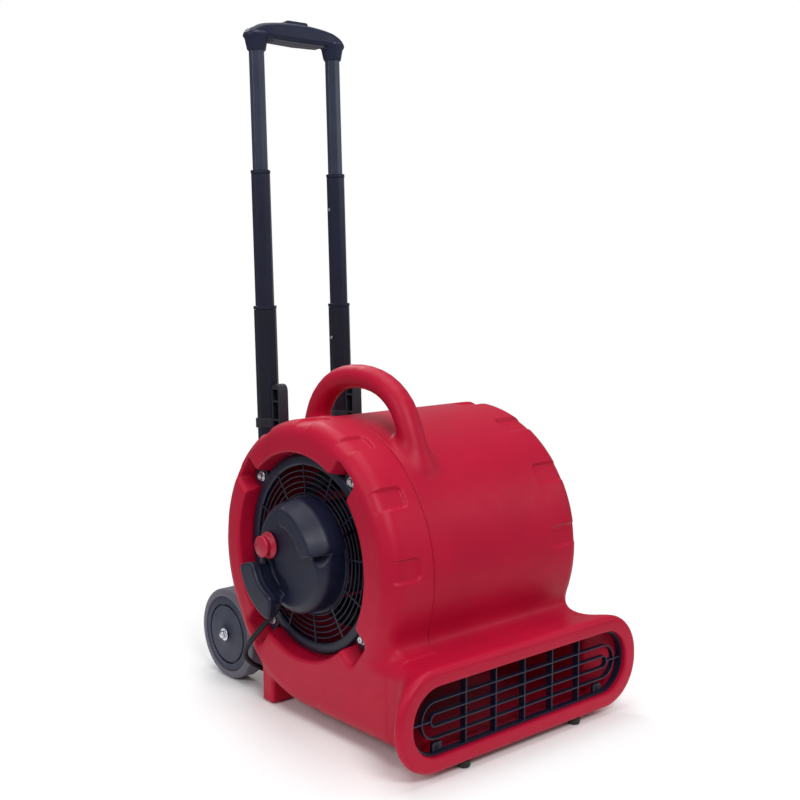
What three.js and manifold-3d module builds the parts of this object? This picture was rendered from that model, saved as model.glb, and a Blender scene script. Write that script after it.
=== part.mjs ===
// A commercial air mover: a red moulded blower housing on two rear wheels and two front feet, with a motor
// on its left side, a wide outlet at the front and a three-stage telescopic handle behind.
// Millimetres. +Z is up, the outlet faces -Y, the motor is on -X, and the floor is z = 0.
import * as THREE from "three";
import { mergeVertices } from "three/addons/utils/BufferGeometryUtils.js";
import Module from "manifold-3d";

const wasm = await Module();
wasm.setup();

// ---------------------------------------------------------------- driving dimensions

const GAP = 0.3; // between pieces that touch
const DEG = Math.PI / 180;

const FAN = { y: -5, z: 255 }; // axis of the motor and the blower wheel, along X

const DRUM = { y: -12, z: 248, r: 209, drop: 18, halfWidth: 196, edge: 26, wall: 5 };
const FLOOR_Z = DRUM.z - DRUM.r - DRUM.drop; // underside of the housing
const SEAM = { x: -113, width: 2.4, depth: 1.6 };

const INLET = { recess: 155, floor: 164, hole: 138, wall: 5, turn: -6, screwCircle: 160, pocket: 19 };
const GUARD = {
  rimOuter: 151, rimInner: 135, thick: 8, plate: 90, eye: 72, disc: 40.5, wire: 2.6, rings: 4, sides: 16,
};

const MOUTH = { front: -295, halfWidth: 219, bottom: 34, top: 132 };
const GRILLE = { front: -287, depth: 10, bars: 5, pitch: 58.4, line: 3.2, tab: 9, tabTall: 15 };
const GRILLE_SCREW = { x: 166, above: 9, r: 2.3, hole: 2.8 }; // above is its height over the mouth's bottom

const CARRY = { x: -78, wide: 40, tall: 36 };
const LEG = { x: 163, wide: 46, back: 104, deep: 29, bottom: 2, top: 88 };
const FOOT = { x: 115, y: -281, r: 9.5, top: 10.4 };

const WHEEL = { y: 226, z: 75, r: 75, inner: 139, outer: 174, hub: 62, groove: 49, axle: 6 };

const POLE = { x: 78, y: 220, z: 75, lean: 2, outer: 37, middle: 31, inner: 25, wall: 1.6, chamfer: 0.33 };
// Heights along the poles, from the axle.
const RISE = {
  outerBottom: 27, outerTop: 535, middleBottom: 482, middleTop: 757.5, innerBottom: 703,
  collarBottom: 955.5, barBottom: 977, barTop: 1006, cap: 6,
};

// The release button and the well that it sinks into, about the middle of the grip.
const BUTTON = { half: 22, deep: 9, floor: 988, bottom: 995, top: 1010.5, play: 0.4 };

// Ribbed channels behind the drum. Front and back are measured from the poles' own line.
const BRACKET = { wide: 18, front: -45, back: -22.5, bottom: 218, top: 412, wall: 4 };
const CLAMP = { bottom: 338, tall: 16, wall: 3 };

const COVER = {
  r: 85, wall: 4, face: -212, shoulder: -192, hornFront: -231, hornBack: -220, hornNeck: 80,
};
const KNOB = { y: 40, z: 267, r: 16.5, flange: 20.5, seat: 212, stem: 4.6, hole: 5.5 };
const MOTOR = { r: 66, back: -165, front: -66, shaft: 8, bore: 8.4 };
const WHEEL_BLADES = { count: 14, r0: 92, r1: 124, from: -104, to: 121, pitch: -28, thick: 2 };

const STRAIN = { x: -186, from: 84, angle: -56, r: 6, length: 30 };
const CORD = { d: 8.5, sides: 10 };
const COIL = { x: 10, y: 188, inner: 47, outer: 86, bottom: 0.2, top: 36 };

// ---------------------------------------------------------------- materials

const plastic = (color, roughness) => new THREE.MeshStandardMaterial({ color, roughness, metalness: 0 });
const metal = (color, roughness) => new THREE.MeshStandardMaterial({ color, roughness, metalness: 1 });

const RED = plastic("#b5183a", 0.45);
const BLACK = plastic("#22252f", 0.5);
const SOFT_BLACK = plastic("#17181c", 0.8);
const TYRE = plastic("#5f5a69", 0.75);
const ZINC = metal("#c3c7cc", 0.35);
const STEEL = metal("#8e9196", 0.4);
const PAINTED_TUBE = plastic("#3a3d52", 0.38);
const PAINTED_STEEL = plastic("#2b2e38", 0.45);
const WHITE_CAN = plastic("#d9d9d2", 0.5);

// ---------------------------------------------------------------- solids

// A closed geometry as a solid, turned right side out if need be.
function solid(geometry) {
  const g = geometry.clone();
  g.deleteAttribute("normal");
  g.deleteAttribute("uv");
  const merged = mergeVertices(g, 1e-3);
  const triVerts = new Uint32Array(merged.index.array);
  const vertProperties = new Float32Array(merged.attributes.position.array);
  const make = () => new wasm.Manifold(new wasm.Mesh({ numProp: 3, vertProperties, triVerts }));
  const made = make();
  if (made.volume() > 0) return made;
  for (let i = 0; i < triVerts.length; i += 3) {
    [triVerts[i + 1], triVerts[i + 2]] = [triVerts[i + 2], triVerts[i + 1]];
  }
  return make();
}

const join = (...solids) => solids.flat().reduce((sum, s) => sum.add(s));
const cut = (from, ...tools) => tools.flat().reduce((left, s) => left.subtract(s), from);

function meshOf(name, shape, material) {
  const m = shape.getMesh();
  const g = new THREE.BufferGeometry();
  g.setAttribute("position", new THREE.BufferAttribute(new Float32Array(m.vertProperties), 3));
  g.setIndex(new THREE.BufferAttribute(new Uint32Array(m.triVerts), 1));
  const flat = g.toNonIndexed();
  flat.computeVertexNormals();
  const mesh = new THREE.Mesh(flat, material);
  mesh.name = name;
  return mesh;
}

function box([x0, x1], [y0, y1], [z0, z1]) {
  const g = new THREE.BoxGeometry(x1 - x0, y1 - y0, z1 - z0);
  return solid(g.translate((x0 + x1) / 2, (y0 + y1) / 2, (z0 + z1) / 2));
}

// A cylinder along X, from x0 to x1, about the line through (y, z).
function rodX(r, x0, x1, y, z, sides = 32) {
  const g = new THREE.CylinderGeometry(r, r, Math.abs(x1 - x0), sides);
  return solid(g.rotateZ(Math.PI / 2).translate((x0 + x1) / 2, y, z));
}

// A stretch of X between two distances from the middle, on the left (-1) or the right (1).
const spanX = (side, near, far) => (side < 0 ? [-far, -near] : [near, far]);

function rodZ(r, z0, z1, x, y, sides = 24) {
  const g = new THREE.CylinderGeometry(r, r, z1 - z0, sides);
  return solid(g.rotateX(Math.PI / 2).translate(x, y, (z0 + z1) / 2));
}

// A turned solid about the X line through (y, z). The profile is a closed list of [radius, x].
function turned(profile, y, z, sides = 40) {
  const points = [...profile, profile[0]].map(([r, x]) => new THREE.Vector2(r, x));
  const g = new THREE.LatheGeometry(points, sides);
  return solid(g.rotateZ(-Math.PI / 2).translate(0, y, z));
}

// A rectangular ring about the X line through (y, z).
const ringX = (r0, r1, x0, x1, y, z, sides) =>
  turned([[r0, x0], [r1, x0], [r1, x1], [r0, x1]], y, z, sides);

// An outline of [y, z] points, extruded along X. A rounding insets the ends of the extrusion.
function slabX(points, x0, x1, rounding = 0, roundSegments = 2) {
  const shape = new THREE.Shape(points.map(([y, z]) => new THREE.Vector2(y, z)));
  const g = new THREE.ExtrudeGeometry(shape, {
    depth: x1 - x0 - 2 * rounding,
    bevelEnabled: rounding > 0,
    bevelThickness: rounding,
    bevelSize: rounding,
    bevelOffset: -rounding,
    bevelSegments: roundSegments,
  });
  // The extrusion runs along Z with the outline in XY: this turns Y and Z of the outline into place.
  const turn = new THREE.Matrix4().makeBasis(
    new THREE.Vector3(0, 1, 0), new THREE.Vector3(0, 0, 1), new THREE.Vector3(1, 0, 0));
  return solid(g.applyMatrix4(turn).translate(x0 + rounding, 0, 0));
}

// An outline of [x, z] points, extruded along Y from y0 to y1.
function slabY(points, y0, y1, rounding = 0) {
  const shape = new THREE.Shape(points.map(([x, z]) => new THREE.Vector2(x, z)));
  const g = new THREE.ExtrudeGeometry(shape, {
    depth: y1 - y0 - 2 * rounding,
    bevelEnabled: rounding > 0,
    bevelThickness: rounding,
    bevelSize: rounding,
    bevelOffset: -rounding,
    bevelSegments: 2,
  });
  return solid(g.rotateX(Math.PI / 2).translate(0, y1 - rounding, 0));
}

// An outline of [x, y] points, extruded up Z.
function slabZ(points, z0, z1) {
  const shape = new THREE.Shape(points.map(([x, y]) => new THREE.Vector2(x, y)));
  const g = new THREE.ExtrudeGeometry(shape, { depth: z1 - z0, bevelEnabled: false });
  return solid(g.translate(0, 0, z0));
}

// A tube of oval section along a smooth path, closed at both ends.
function swept(path, wide, tall, sides, steps) {
  const section = new THREE.Shape();
  section.absellipse(0, 0, tall / 2, wide / 2, 0, 2 * Math.PI);
  const outline = new THREE.Shape(section.getSpacedPoints(sides).slice(0, -1));
  return solid(new THREE.ExtrudeGeometry(outline, { steps, bevelEnabled: false, extrudePath: path }));
}

// Points of a rounded rectangle, the same number for every size, so that sections can be lofted.
function roundedRect(x0, x1, z0, z1, r, perCorner = 4) {
  const corners = [[x1 - r, z0 + r, -90], [x1 - r, z1 - r, 0], [x0 + r, z1 - r, 90], [x0 + r, z0 + r, 180]];
  return corners.flatMap(([cx, cz, start]) =>
    Array.from({ length: perCorner + 1 }, (_, i) => {
      const a = (start + (90 * i) / perCorner) * DEG;
      return [cx + r * Math.cos(a), cz + r * Math.sin(a)];
    }));
}

// A solid through rounded-rectangle sections {y, w, z0, z1, r}, each centred on x = 0.
function loftY(sections) {
  const rings = sections.map(({ y, w, z0, z1, r }) =>
    roundedRect(-w, w, z0, z1, r).map(([x, z]) => [x, y, z]));
  const n = rings[0].length;
  const position = rings.flat(2);
  const index = [];
  for (let k = 0; k + 1 < rings.length; k++) {
    for (let i = 0; i < n; i++) {
      const a = k * n + i;
      const b = k * n + ((i + 1) % n);
      index.push(a, b, b + n, a, b + n, a + n);
    }
  }
  const last = (rings.length - 1) * n;
  for (let i = 1; i + 1 < n; i++) {
    index.push(0, i + 1, i, last, last + i, last + i + 1);
  }
  const g = new THREE.BufferGeometry();
  g.setAttribute("position", new THREE.Float32BufferAttribute(position, 3));
  g.setIndex(index);
  return solid(g);
}

// A point at an angle on a circle in a YZ plane: 0 is towards +Y, 90 is up.
const polar = (centre, r, angle) => [
  centre.y + r * Math.cos(angle * DEG),
  centre.z + r * Math.sin(angle * DEG),
];

// ---------------------------------------------------------------- housing

const smooth = (t) => t * t * (3 - 2 * t);

// The scroll is round over the top and widens towards the bottom, where it is flat on the floor side.
function scrollRadius(angle) {
  const fromTop = Math.abs(((angle - 90 + 540) % 360) - 180);
  return DRUM.r + DRUM.drop * smooth(Math.min(1, Math.max(0, (fromTop - 115) / 45)));
}

function scroll(inset, sides = 40) {
  return Array.from({ length: sides }, (_, i) => {
    const angle = (360 * i) / sides;
    return polar(DRUM, scrollRadius(angle) - inset, angle);
  });
}

function drumSolid(inset, halfWidth, rounding) {
  return slabX(scroll(inset), -halfWidth, halfWidth, rounding);
}

// The duct leaves the drum flush with its ends and flares into a rolled lip.
function ductOuter() {
  return loftY([
    { y: -40, w: 194, z0: FLOOR_Z, z1: 120, r: 22 },
    { y: -150, w: 195, z0: FLOOR_Z, z1: 149, r: 22 },
    { y: -234, w: 195, z0: FLOOR_Z, z1: 149, r: 26 },
    { y: -254, w: 207, z0: 19, z1: 150, r: 38 },
    { y: -270, w: 231, z0: 14, z1: 152, r: 58 },
    { y: -281, w: 244, z0: 11, z1: 155, r: 68 },
    { y: -288, w: 245, z0: 11, z1: 155, r: 69 },
    { y: -293, w: 241, z0: 15, z1: 151, r: 65 },
    { y: MOUTH.front, w: 233, z0: 22, z1: 144, r: 58 },
  ]);
}

function ductInner() {
  const { front, halfWidth, bottom, top } = MOUTH;
  return loftY([
    { y: -60, w: 186, z0: 26, z1: 130, r: 14 },
    { y: -234, w: 187, z0: 26, z1: 143, r: 20 },
    { y: -262, w: 205, z0: 29, z1: 138, r: 36 },
    { y: -276, w: halfWidth, z0: bottom, z1: top, r: 47 },
    { y: front + 7, w: halfWidth, z0: bottom, z1: top, r: 47 },
    { y: front + 2, w: halfWidth + 3, z0: bottom - 3, z1: top + 3, r: 50 },
    { y: front - 1, w: halfWidth + 8, z0: bottom - 8, z1: top + 8, r: 54 },
  ]);
}

const CARRY_PATH = new THREE.CatmullRomCurve3([
  [-146, 396], [-131, 436], [-108, 480], [-68, 508], [-14, 517],
  [40, 507], [79, 477], [99, 436], [106, 398],
].map(([y, z]) => new THREE.Vector3(CARRY.x, y, z)));

const screwAngles = [0, 1, 2, 3].map((k) => 45 + INLET.turn + 90 * k);

// A square prism whose one side faces straight out from the fan axis.
function pocket(half, angle, x0, x1) {
  const corners = [[-1, -1], [1, -1], [1, 1], [-1, 1]].map(([u, v]) => {
    const r = INLET.screwCircle + 1 + u * half;
    const a = angle * DEG;
    return [
      FAN.y + r * Math.cos(a) - v * half * Math.sin(a),
      FAN.z + r * Math.sin(a) + v * half * Math.cos(a),
    ];
  });
  return slabX(corners, x0, x1);
}

// The cup round an inlet: side is -1 for the motor side and 1 for the far side.
function inletCup(side) {
  const face = DRUM.halfWidth - 1;
  const back = INLET.floor - INLET.wall;
  const span = (near, far) => spanX(side, near, far);
  const cup = ringX(INLET.hole, INLET.recess + INLET.wall, ...span(back, face), FAN.y, FAN.z, 32);
  const bosses = screwAngles.map((a) =>
    rodX(9, ...span(back - 14, back + 1), ...polar(FAN, INLET.screwCircle, a), 12));
  const walls = screwAngles.map((a) => pocket(INLET.pocket + INLET.wall, a, ...span(back, face - 8)));
  return join(cup, walls, bosses);
}

function inletCuts(side) {
  const span = (near, far) => spanX(side, near, far);
  const beyond = DRUM.halfWidth + 5;
  return [
    rodX(INLET.recess, ...span(INLET.floor, beyond), FAN.y, FAN.z, 32),
    rodX(INLET.hole, ...span(INLET.floor - 40, beyond), FAN.y, FAN.z, 32),
    ...screwAngles.map((a) => pocket(INLET.pocket, a, ...span(INLET.floor, beyond))),
    ...screwAngles.map((a) =>
      rodX(3.4, ...span(INLET.floor - 16, beyond), ...polar(FAN, INLET.screwCircle, a), 10)),
  ];
}

function rearLeg(side) {
  const x = side * LEG.x;
  const half = LEG.wide / 2;
  return box([x - half, x + half], [LEG.back - LEG.deep, LEG.back], [LEG.bottom, LEG.top]);
}

// The ring that the hollow leaves standing round an inlet, so that the cup joins the drum's end.
function inletRing(side) {
  const span = spanX(side, INLET.floor - INLET.wall, DRUM.halfWidth + 4);
  return ringX(INLET.hole, INLET.recess + INLET.wall, ...span, FAN.y, FAN.z, 32);
}

function housing() {
  const outer = join(
    drumSolid(0, DRUM.halfWidth, DRUM.edge),
    ductOuter(),
    swept(CARRY_PATH, CARRY.wide, CARRY.tall, 12, 14),
    rearLeg(-1),
    rearLeg(1),
  );
  const seam = ringX(DRUM.r - SEAM.depth, DRUM.r + 30, SEAM.x - SEAM.width, SEAM.x, DRUM.y, DRUM.z, 40);
  const seamAboveDuct = cut(seam, box([-200, 0], [-260, 260], [-40, DRUM.z - 92]));
  const hollow = cut(
    join(drumSolid(DRUM.wall, DRUM.halfWidth - 6, DRUM.edge - 5), ductInner()),
    inletRing(-1),
    inletRing(1),
  );
  const shell = join(cut(outer, hollow), inletCup(-1), inletCup(1), grilleBosses());
  return cut(shell, inletCuts(-1), inletCuts(1), seamAboveDuct);
}

// ---------------------------------------------------------------- inlet guards

// A flat rim with four ears, wire rings and spokes, and a plate in the middle.
function inletGuard(side, eye) {
  const span = (near, far) => spanX(side, near, far);
  const seat = INLET.floor + GAP;
  const front = seat + GUARD.thick;
  const rim = ringX(GUARD.rimInner, GUARD.rimOuter, ...span(seat, front), FAN.y, FAN.z, 32);
  const first = eye > 0 ? GUARD.plate : GUARD.disc;
  const plate = eye > 0
    ? ringX(eye, first, ...span(front - 6, front), FAN.y, FAN.z, 24)
    : rodX(first, ...span(front - 6, front), FAN.y, FAN.z, 24);
  const count = eye > 0 ? GUARD.rings : GUARD.rings - 1;
  const step = (GUARD.rimInner - first) / (count + 1);
  const wires = Array.from({ length: count }, (_, i) => {
    const r = first + step * (i + 1);
    const half = GUARD.wire / 2;
    return ringX(r - half, r + half, ...span(front - 3.2, front - 0.6), FAN.y, FAN.z, GUARD.sides);
  });
  const spokeCount = eye > 0 ? 12 : 8;
  const spokes = Array.from({ length: spokeCount }, (_, i) => {
    const g = new THREE.BoxGeometry(2.6, GUARD.rimInner + 4 - first + 4, 2.6);
    g.translate(side * (front - 3), (GUARD.rimInner + first) / 2, 0);
    g.rotateX((INLET.turn + 15 + (360 / spokeCount) * i) * DEG);
    return solid(g.translate(0, FAN.y, FAN.z));
  });
  const ears = screwAngles.map((a) => cut(
    pocket(INLET.pocket - 5, a, ...span(seat, seat + 5)),
    rodX(3.5, ...span(seat - 1, seat + 6), ...polar(FAN, INLET.screwCircle, a), 10),
  ));
  const rimHole = rodX(GUARD.rimInner + 2, ...span(seat - 1, seat + 6), FAN.y, FAN.z, 32);
  return join(rim, plate, wires, spokes, ears.map((ear) => cut(ear, rimHole)));
}

// A hexagon-head screw with its washer, along X, the head outwards.
function screwX(side, seat, y, z, shank, washer = 8, headSize = 5.5) {
  const out = (d) => side * (seat + d);
  return join(
    rodX(washer, out(0), out(1.6), y, z, 12),
    rodX(headSize, out(1.4), out(6.5), y, z, 6),
    rodX(2.9, out(-shank), out(1), y, z, 6),
  );
}

// ---------------------------------------------------------------- motor and blower wheel

function motorCan() {
  const { r, back, front, bore } = MOTOR;
  const can = turned([
    [0, back], [r - 2, back], [r - 2, back + 9], [r, back + 11], [r, front - 8],
    [r - 8, front], [22, front], [22, front + 6], [0, front + 6],
  ], FAN.y, FAN.z, 24);
  return cut(can, rodX(bore, front - 44, front + 11, FAN.y, FAN.z, 20));
}

function motorMountRing() {
  return ringX(66.5, 86, -INLET.floor - 1.2, -INLET.floor + 3.2, FAN.y, FAN.z, 24);
}

// Open at both ends: a disc in the middle carries the blades, and a ring ties their tips at each end.
function blowerWheel() {
  const { count, r0, r1, from, to, pitch, thick } = WHEEL_BLADES;
  const disc = ringX(MOTOR.bore, r1, 8, 11, FAN.y, FAN.z, 24);
  const boss = ringX(MOTOR.bore, 22, -8, 26, FAN.y, FAN.z, 20);
  const ends = [from, to - 3].map((x) => ringX(r0 + 12, r1, x, x + 3, FAN.y, FAN.z, 24));
  const blades = Array.from({ length: count }, (_, i) => {
    const g = new THREE.BoxGeometry(to - from - 2, r1 - r0, thick);
    g.rotateX(pitch * DEG).translate((from + to) / 2, (r0 + r1) / 2, 0).rotateX((360 / count) * i * DEG);
    return solid(g.translate(0, FAN.y, FAN.z));
  });
  const trim = rodX(r1, from - 6, to + 6, FAN.y, FAN.z, 24);
  return join(disc, boss, ends, blades).intersect(trim);
}

function blowerWheelNut() {
  return cut(rodX(15, 26.5, 36, FAN.y, FAN.z, 6), rodX(MOTOR.bore, 20, 40, FAN.y, FAN.z, 20));
}

// ---------------------------------------------------------------- motor cover and control

// Points on an arc about the fan axis, from angle a to angle b.
function fanArc(r, a, b) {
  const steps = 6;
  return Array.from({ length: steps + 1 }, (_, i) => polar(FAN, r, a + ((b - a) * i) / steps));
}

// One crescent that stands on the cover's face, between two angles, with its plate wider than its neck.
function horn(from, to, r0, r1) {
  const { hornFront, hornBack, hornNeck, face } = COVER;
  const plate = slabX([...fanArc(r1, from, to), ...fanArc(r0, to - 4, from + 4)], hornFront, hornBack, 3, 2);
  const neckEdge = [...fanArc(hornNeck, from + 3, to - 3), ...fanArc(r0 + 2, to - 6, from + 6)];
  return join(plate, slabX(neckEdge, hornBack - 4, face + 10));
}

function motorCover() {
  const { r, wall, face, shoulder } = COVER;
  const back = -INLET.floor - GAP - GUARD.thick - GAP;
  const shell = turned([
    [r, back], [r, shoulder], [r - 2, shoulder - 9], [r - 9, shoulder - 16], [r - 19, face + 1], [0, face],
    [0, face + wall], [r - 21, face + wall + 0.5], [r - 12, shoulder - 12], [r - 6, shoulder - 6],
    [r - wall, shoulder + 1], [r - wall, back],
  ], FAN.y, FAN.z, 28);
  const knobHole = rodX(KNOB.hole, face - 6, face + 14, KNOB.y, KNOB.z, 16);
  const [cy, cz] = polar(FAN, STRAIN.from, STRAIN.angle);
  const reliefHole = new THREE.CylinderGeometry(STRAIN.r + GAP, STRAIN.r + GAP, 30, 16);
  reliefHole.rotateX(STRAIN.angle * DEG).translate(STRAIN.x, cy, cz);
  const upperHorn = horn(92, 162, 52, 82);
  const cordWrapHorn = horn(-78, -14, 60, 97);
  return cut(join(shell, upperHorn, cordWrapHorn), knobHole, solid(reliefHole));
}

function speedKnob() {
  const s = KNOB.seat + GAP;
  return join(
    turned([[0, -s], [KNOB.flange, -s], [KNOB.flange - 1, -s - 3], [KNOB.r, -s - 5], [KNOB.r, -s - 15],
      [KNOB.r - 1.5, -s - 17], [0, -s - 17]], KNOB.y, KNOB.z, 28),
    rodX(KNOB.stem, -s - 1, COVER.face + 12, KNOB.y, KNOB.z, 14),
  );
}

function speedSwitch() {
  return join(
    box([COVER.face + 12.5, COVER.face + 31], [KNOB.y - 15, KNOB.y + 15], [KNOB.z - 15, KNOB.z + 15]),
    [-9, 0, 9].map((d) =>
      box([COVER.face + 30, COVER.face + 36], [KNOB.y + d - 2, KNOB.y + d + 2], [KNOB.z - 4, KNOB.z + 4])),
  );
}

function runCapacitor() {
  const g = new THREE.CylinderGeometry(13, 13, 64, 24); // along Y
  return solid(g.translate(COVER.face + 22, FAN.y - 8, FAN.z - 38));
}

// ---------------------------------------------------------------- outlet grille

function grilleLoop(halfWidth, z0, z1, depth) {
  const r = Math.min((z1 - z0) / 2 - 1, 46);
  const t = GRILLE.line;
  const y0 = GRILLE.front;
  return cut(
    slabY(roundedRect(-halfWidth, halfWidth, z0, z1, r), y0, y0 + depth),
    slabY(roundedRect(t - halfWidth, halfWidth - t, z0 + t, z1 - t, r - t), y0 - 1, y0 + depth + 1),
  );
}

function outletGrille() {
  const { halfWidth, bottom, top } = MOUTH;
  const mid = (bottom + top) / 2;
  const frame = grilleLoop(halfWidth - GAP, bottom + GAP, top - GAP, GRILLE.depth);
  const middle = grilleLoop(halfWidth - 20, mid - 27, mid + 27, 6);
  const inner = grilleLoop(halfWidth - 36, mid - 10, mid + 10, 6);
  const y0 = GRILLE.front;
  const bars = Array.from({ length: GRILLE.bars }, (_, i) => {
    const x = (i - (GRILLE.bars - 1) / 2) * GRILLE.pitch;
    return box([x - 1.7, x + 1.7], [y0 + 0.4, y0 + GRILLE.depth + 8], [bottom + 2, top - 2]);
  });
  const ties = [-1, 1].map((side) => {
    const near = side * (halfWidth - 37);
    const far = side * (halfWidth - 2);
    return box([Math.min(near, far), Math.max(near, far)], [y0 + 0.4, y0 + 5], [mid - 1.6, mid + 1.6]);
  });
  const tabs = [-1, 1].map((side) =>
    grilleLug(side * GRILLE_SCREW.x, y0 + 5, y0 + GRILLE.depth, bottom + 2));
  return join(frame, middle, inner, bars, ties, tabs);
}

function rodAlongY(r, y0, y1, x, z, sides = 12) {
  const g = new THREE.CylinderGeometry(r, r, y1 - y0, sides);
  return solid(g.translate(x, (y0 + y1) / 2, z));
}

// A lug with a screw hole: a tab of the grille, or the housing's boss behind it.
function grilleLug(x, y0, y1, bottom) {
  const top = MOUTH.bottom + GRILLE.tabTall;
  return cut(
    box([x - GRILLE.tab, x + GRILLE.tab], [y0, y1], [bottom, top]),
    rodAlongY(GRILLE_SCREW.hole, y0 - 1, y1 + 1, x, MOUTH.bottom + GRILLE_SCREW.above),
  );
}

function grilleScrew(side) {
  const y0 = GRILLE.front + 5;
  const x = side * GRILLE_SCREW.x;
  const z = MOUTH.bottom + GRILLE_SCREW.above;
  return join(
    rodAlongY(4.4, y0 - 3, y0 - GAP, x, z, 16),
    rodAlongY(GRILLE_SCREW.r, y0 - 1, y0 + 14, x, z, 10),
  );
}

const grilleBosses = () => [-1, 1].map((side) => {
  const y0 = GRILLE.front + GRILLE.depth + GAP;
  return grilleLug(side * GRILLE_SCREW.x, y0, y0 + 13, MOUTH.bottom - 8);
});

// ---------------------------------------------------------------- wheels, axle and feet

function wheelProfile(side, points) {
  return turned(points.map(([r, x]) => [r, side * x]), WHEEL.y, WHEEL.z, 28);
}

function tyre(side) {
  const { r, inner, outer, hub } = WHEEL;
  return wheelProfile(side, [
    [hub + GAP, inner + 3], [r - 9, inner], [r - 3, inner + 3], [r, inner + 9], [r, outer - 9],
    [r - 3, outer - 3], [r - 9, outer], [hub + GAP, outer - 1],
  ]);
}

function wheelHub(side) {
  const { inner, outer, hub, groove, axle } = WHEEL;
  return wheelProfile(side, [
    [axle + 0.5, inner - 6], [16, inner - 6], [16, inner + 8], [hub - 6, inner + 8],
    [hub, inner + 3], [hub, outer - 1.5], [groove, outer - 2.5], [groove, outer - 4],
    [14, outer - 4], [13, outer + 1], [axle + 0.5, outer + 1],
  ]);
}

function axleRod() {
  const end = WHEEL.outer + 2;
  return rodX(WHEEL.axle, -end, end, WHEEL.y, WHEEL.z, 20);
}

function axleBolt(side) {
  const start = WHEEL.outer + 2 + GAP;
  return join(
    rodX(10, ...spanX(side, start, start + 2), WHEEL.y, WHEEL.z, 24),
    rodX(6.5, ...spanX(side, start + 1.8, start + 9), WHEEL.y, WHEEL.z, 6),
  );
}

const frontFoot = (side) => rodZ(FOOT.r, 0, FOOT.top, side * FOOT.x, FOOT.y, 20);

// ---------------------------------------------------------------- telescopic handle
// Built upright about the axle line, and leaned back as one group.

function octagon(width, x = 0, y = 0) {
  const h = width / 2;
  const c = width * POLE.chamfer;
  return [
    [h - c, -h], [h, -h + c], [h, h - c], [h - c, h],
    [-h + c, h], [-h, h - c], [-h, -h + c], [-h + c, -h],
  ].map(([px, py]) => [px + x, py + y]);
}

function octTube(side, width, bore, z0, z1) {
  const x = side * POLE.x;
  return cut(slabZ(octagon(width, x), z0, z1), slabZ(octagon(bore, x), z0 - 1, z1 + 1));
}

// The hole of a lock pin, on the side of the tube that faces the other pole.
function pinHole(side, width, height, r, from, to) {
  const wallX = side * (POLE.x - width / 2);
  return rodX(r, wallX + side * from, wallX + side * to, 0, height, 12);
}

// From the poles' own upright frame to the machine's: [y, height] to [y, z].
const leaned = ([y, h]) => [
  POLE.y + y * Math.cos(POLE.lean * DEG) + h * Math.sin(POLE.lean * DEG),
  POLE.z - y * Math.sin(POLE.lean * DEG) + h * Math.cos(POLE.lean * DEG),
];

const tubeBore = (width) => width - 2 * POLE.wall;

function outerTube(side) {
  const tube = octTube(side, POLE.outer, tubeBore(POLE.outer), RISE.outerBottom, RISE.outerTop);
  return cut(tube, pinHole(side, POLE.outer, RISE.middleBottom, 3.3, -1, 3));
}

function middleTube(side) {
  const tube = octTube(side, POLE.middle, tubeBore(POLE.middle), RISE.middleBottom - 8, RISE.middleTop);
  return cut(tube, pinHole(side, POLE.middle, RISE.innerBottom, 3.3, -1, 3));
}

const innerTube = (side) =>
  octTube(side, POLE.inner, tubeBore(POLE.inner), RISE.innerBottom - 8, RISE.barBottom + 12);

const tubeCap = (side, width, inside, top) =>
  octTube(side, width + 1.2, inside + 1.6, top + GAP, top + RISE.cap);

const lockPin = (side, width, height) => pinHole(side, width, height, 2.9, -0.3, POLE.wall - 0.1);

function collar(side) {
  const low = octagon(POLE.inner + 4.5);
  const high = octagon(POLE.inner + 15);
  const ring = (points, z) => points.map(([x, y]) => [x + side * POLE.x, y, z]);
  const levels = [
    ring(low, RISE.collarBottom),
    ring(high, RISE.barBottom + 1),
    ring(high, RISE.barBottom + 7),
  ];
  const g = new THREE.BufferGeometry();
  const index = [];
  const n = 8;
  for (let k = 0; k + 1 < levels.length; k++) {
    for (let i = 0; i < n; i++) {
      const a = k * n + i;
      const b = k * n + ((i + 1) % n);
      index.push(a, b, b + n, a, b + n, a + n);
    }
  }
  for (let i = 1; i + 1 < n; i++) {
    index.push(0, i + 1, i, 2 * n, 2 * n + i, 2 * n + i + 1);
  }
  g.setAttribute("position", new THREE.Float32BufferAttribute(levels.flat(2), 3));
  g.setIndex(index);
  return solid(g);
}

function grip() {
  const z0 = RISE.barBottom;
  const z1 = RISE.barTop;
  const right = [[40, z1 - 1.5], [82, z0 + 21], [99, z0 + 13], [103, z0 + 3], [98, z0]];
  const left = right.map(([x, z]) => [-x, z]).reverse();
  const outline = [...left, [0, z1], ...right];
  const bar = slabY(outline, -17, 17, 4);
  const sockets = [-1, 1].map((side) =>
    slabZ(octagon(POLE.inner + 2 * GAP, side * POLE.x), RISE.collarBottom - 1, RISE.barBottom + 12 + GAP));
  const halfWidth = BUTTON.half + BUTTON.play;
  const halfDepth = BUTTON.deep + BUTTON.play;
  const well = box([-halfWidth, halfWidth], [-halfDepth, halfDepth], [BUTTON.floor, RISE.barTop + 10]);
  return cut(join(bar, collar(-1), collar(1)), sockets, well);
}

function gripPad() {
  const z1 = RISE.barBottom - GAP;
  return slabY([[-55, z1], [-50, z1 - 4], [0, z1 - 5.5], [50, z1 - 4], [55, z1]], -12, 12, 0);
}

const releaseButton = () =>
  slabY([[-BUTTON.half, BUTTON.bottom], [BUTTON.half, BUTTON.bottom], [BUTTON.half, BUTTON.top - 2],
    [BUTTON.half - 2, BUTTON.top], [-BUTTON.half + 2, BUTTON.top], [-BUTTON.half, BUTTON.top - 2]],
    -BUTTON.deep, BUTTON.deep);

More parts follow.
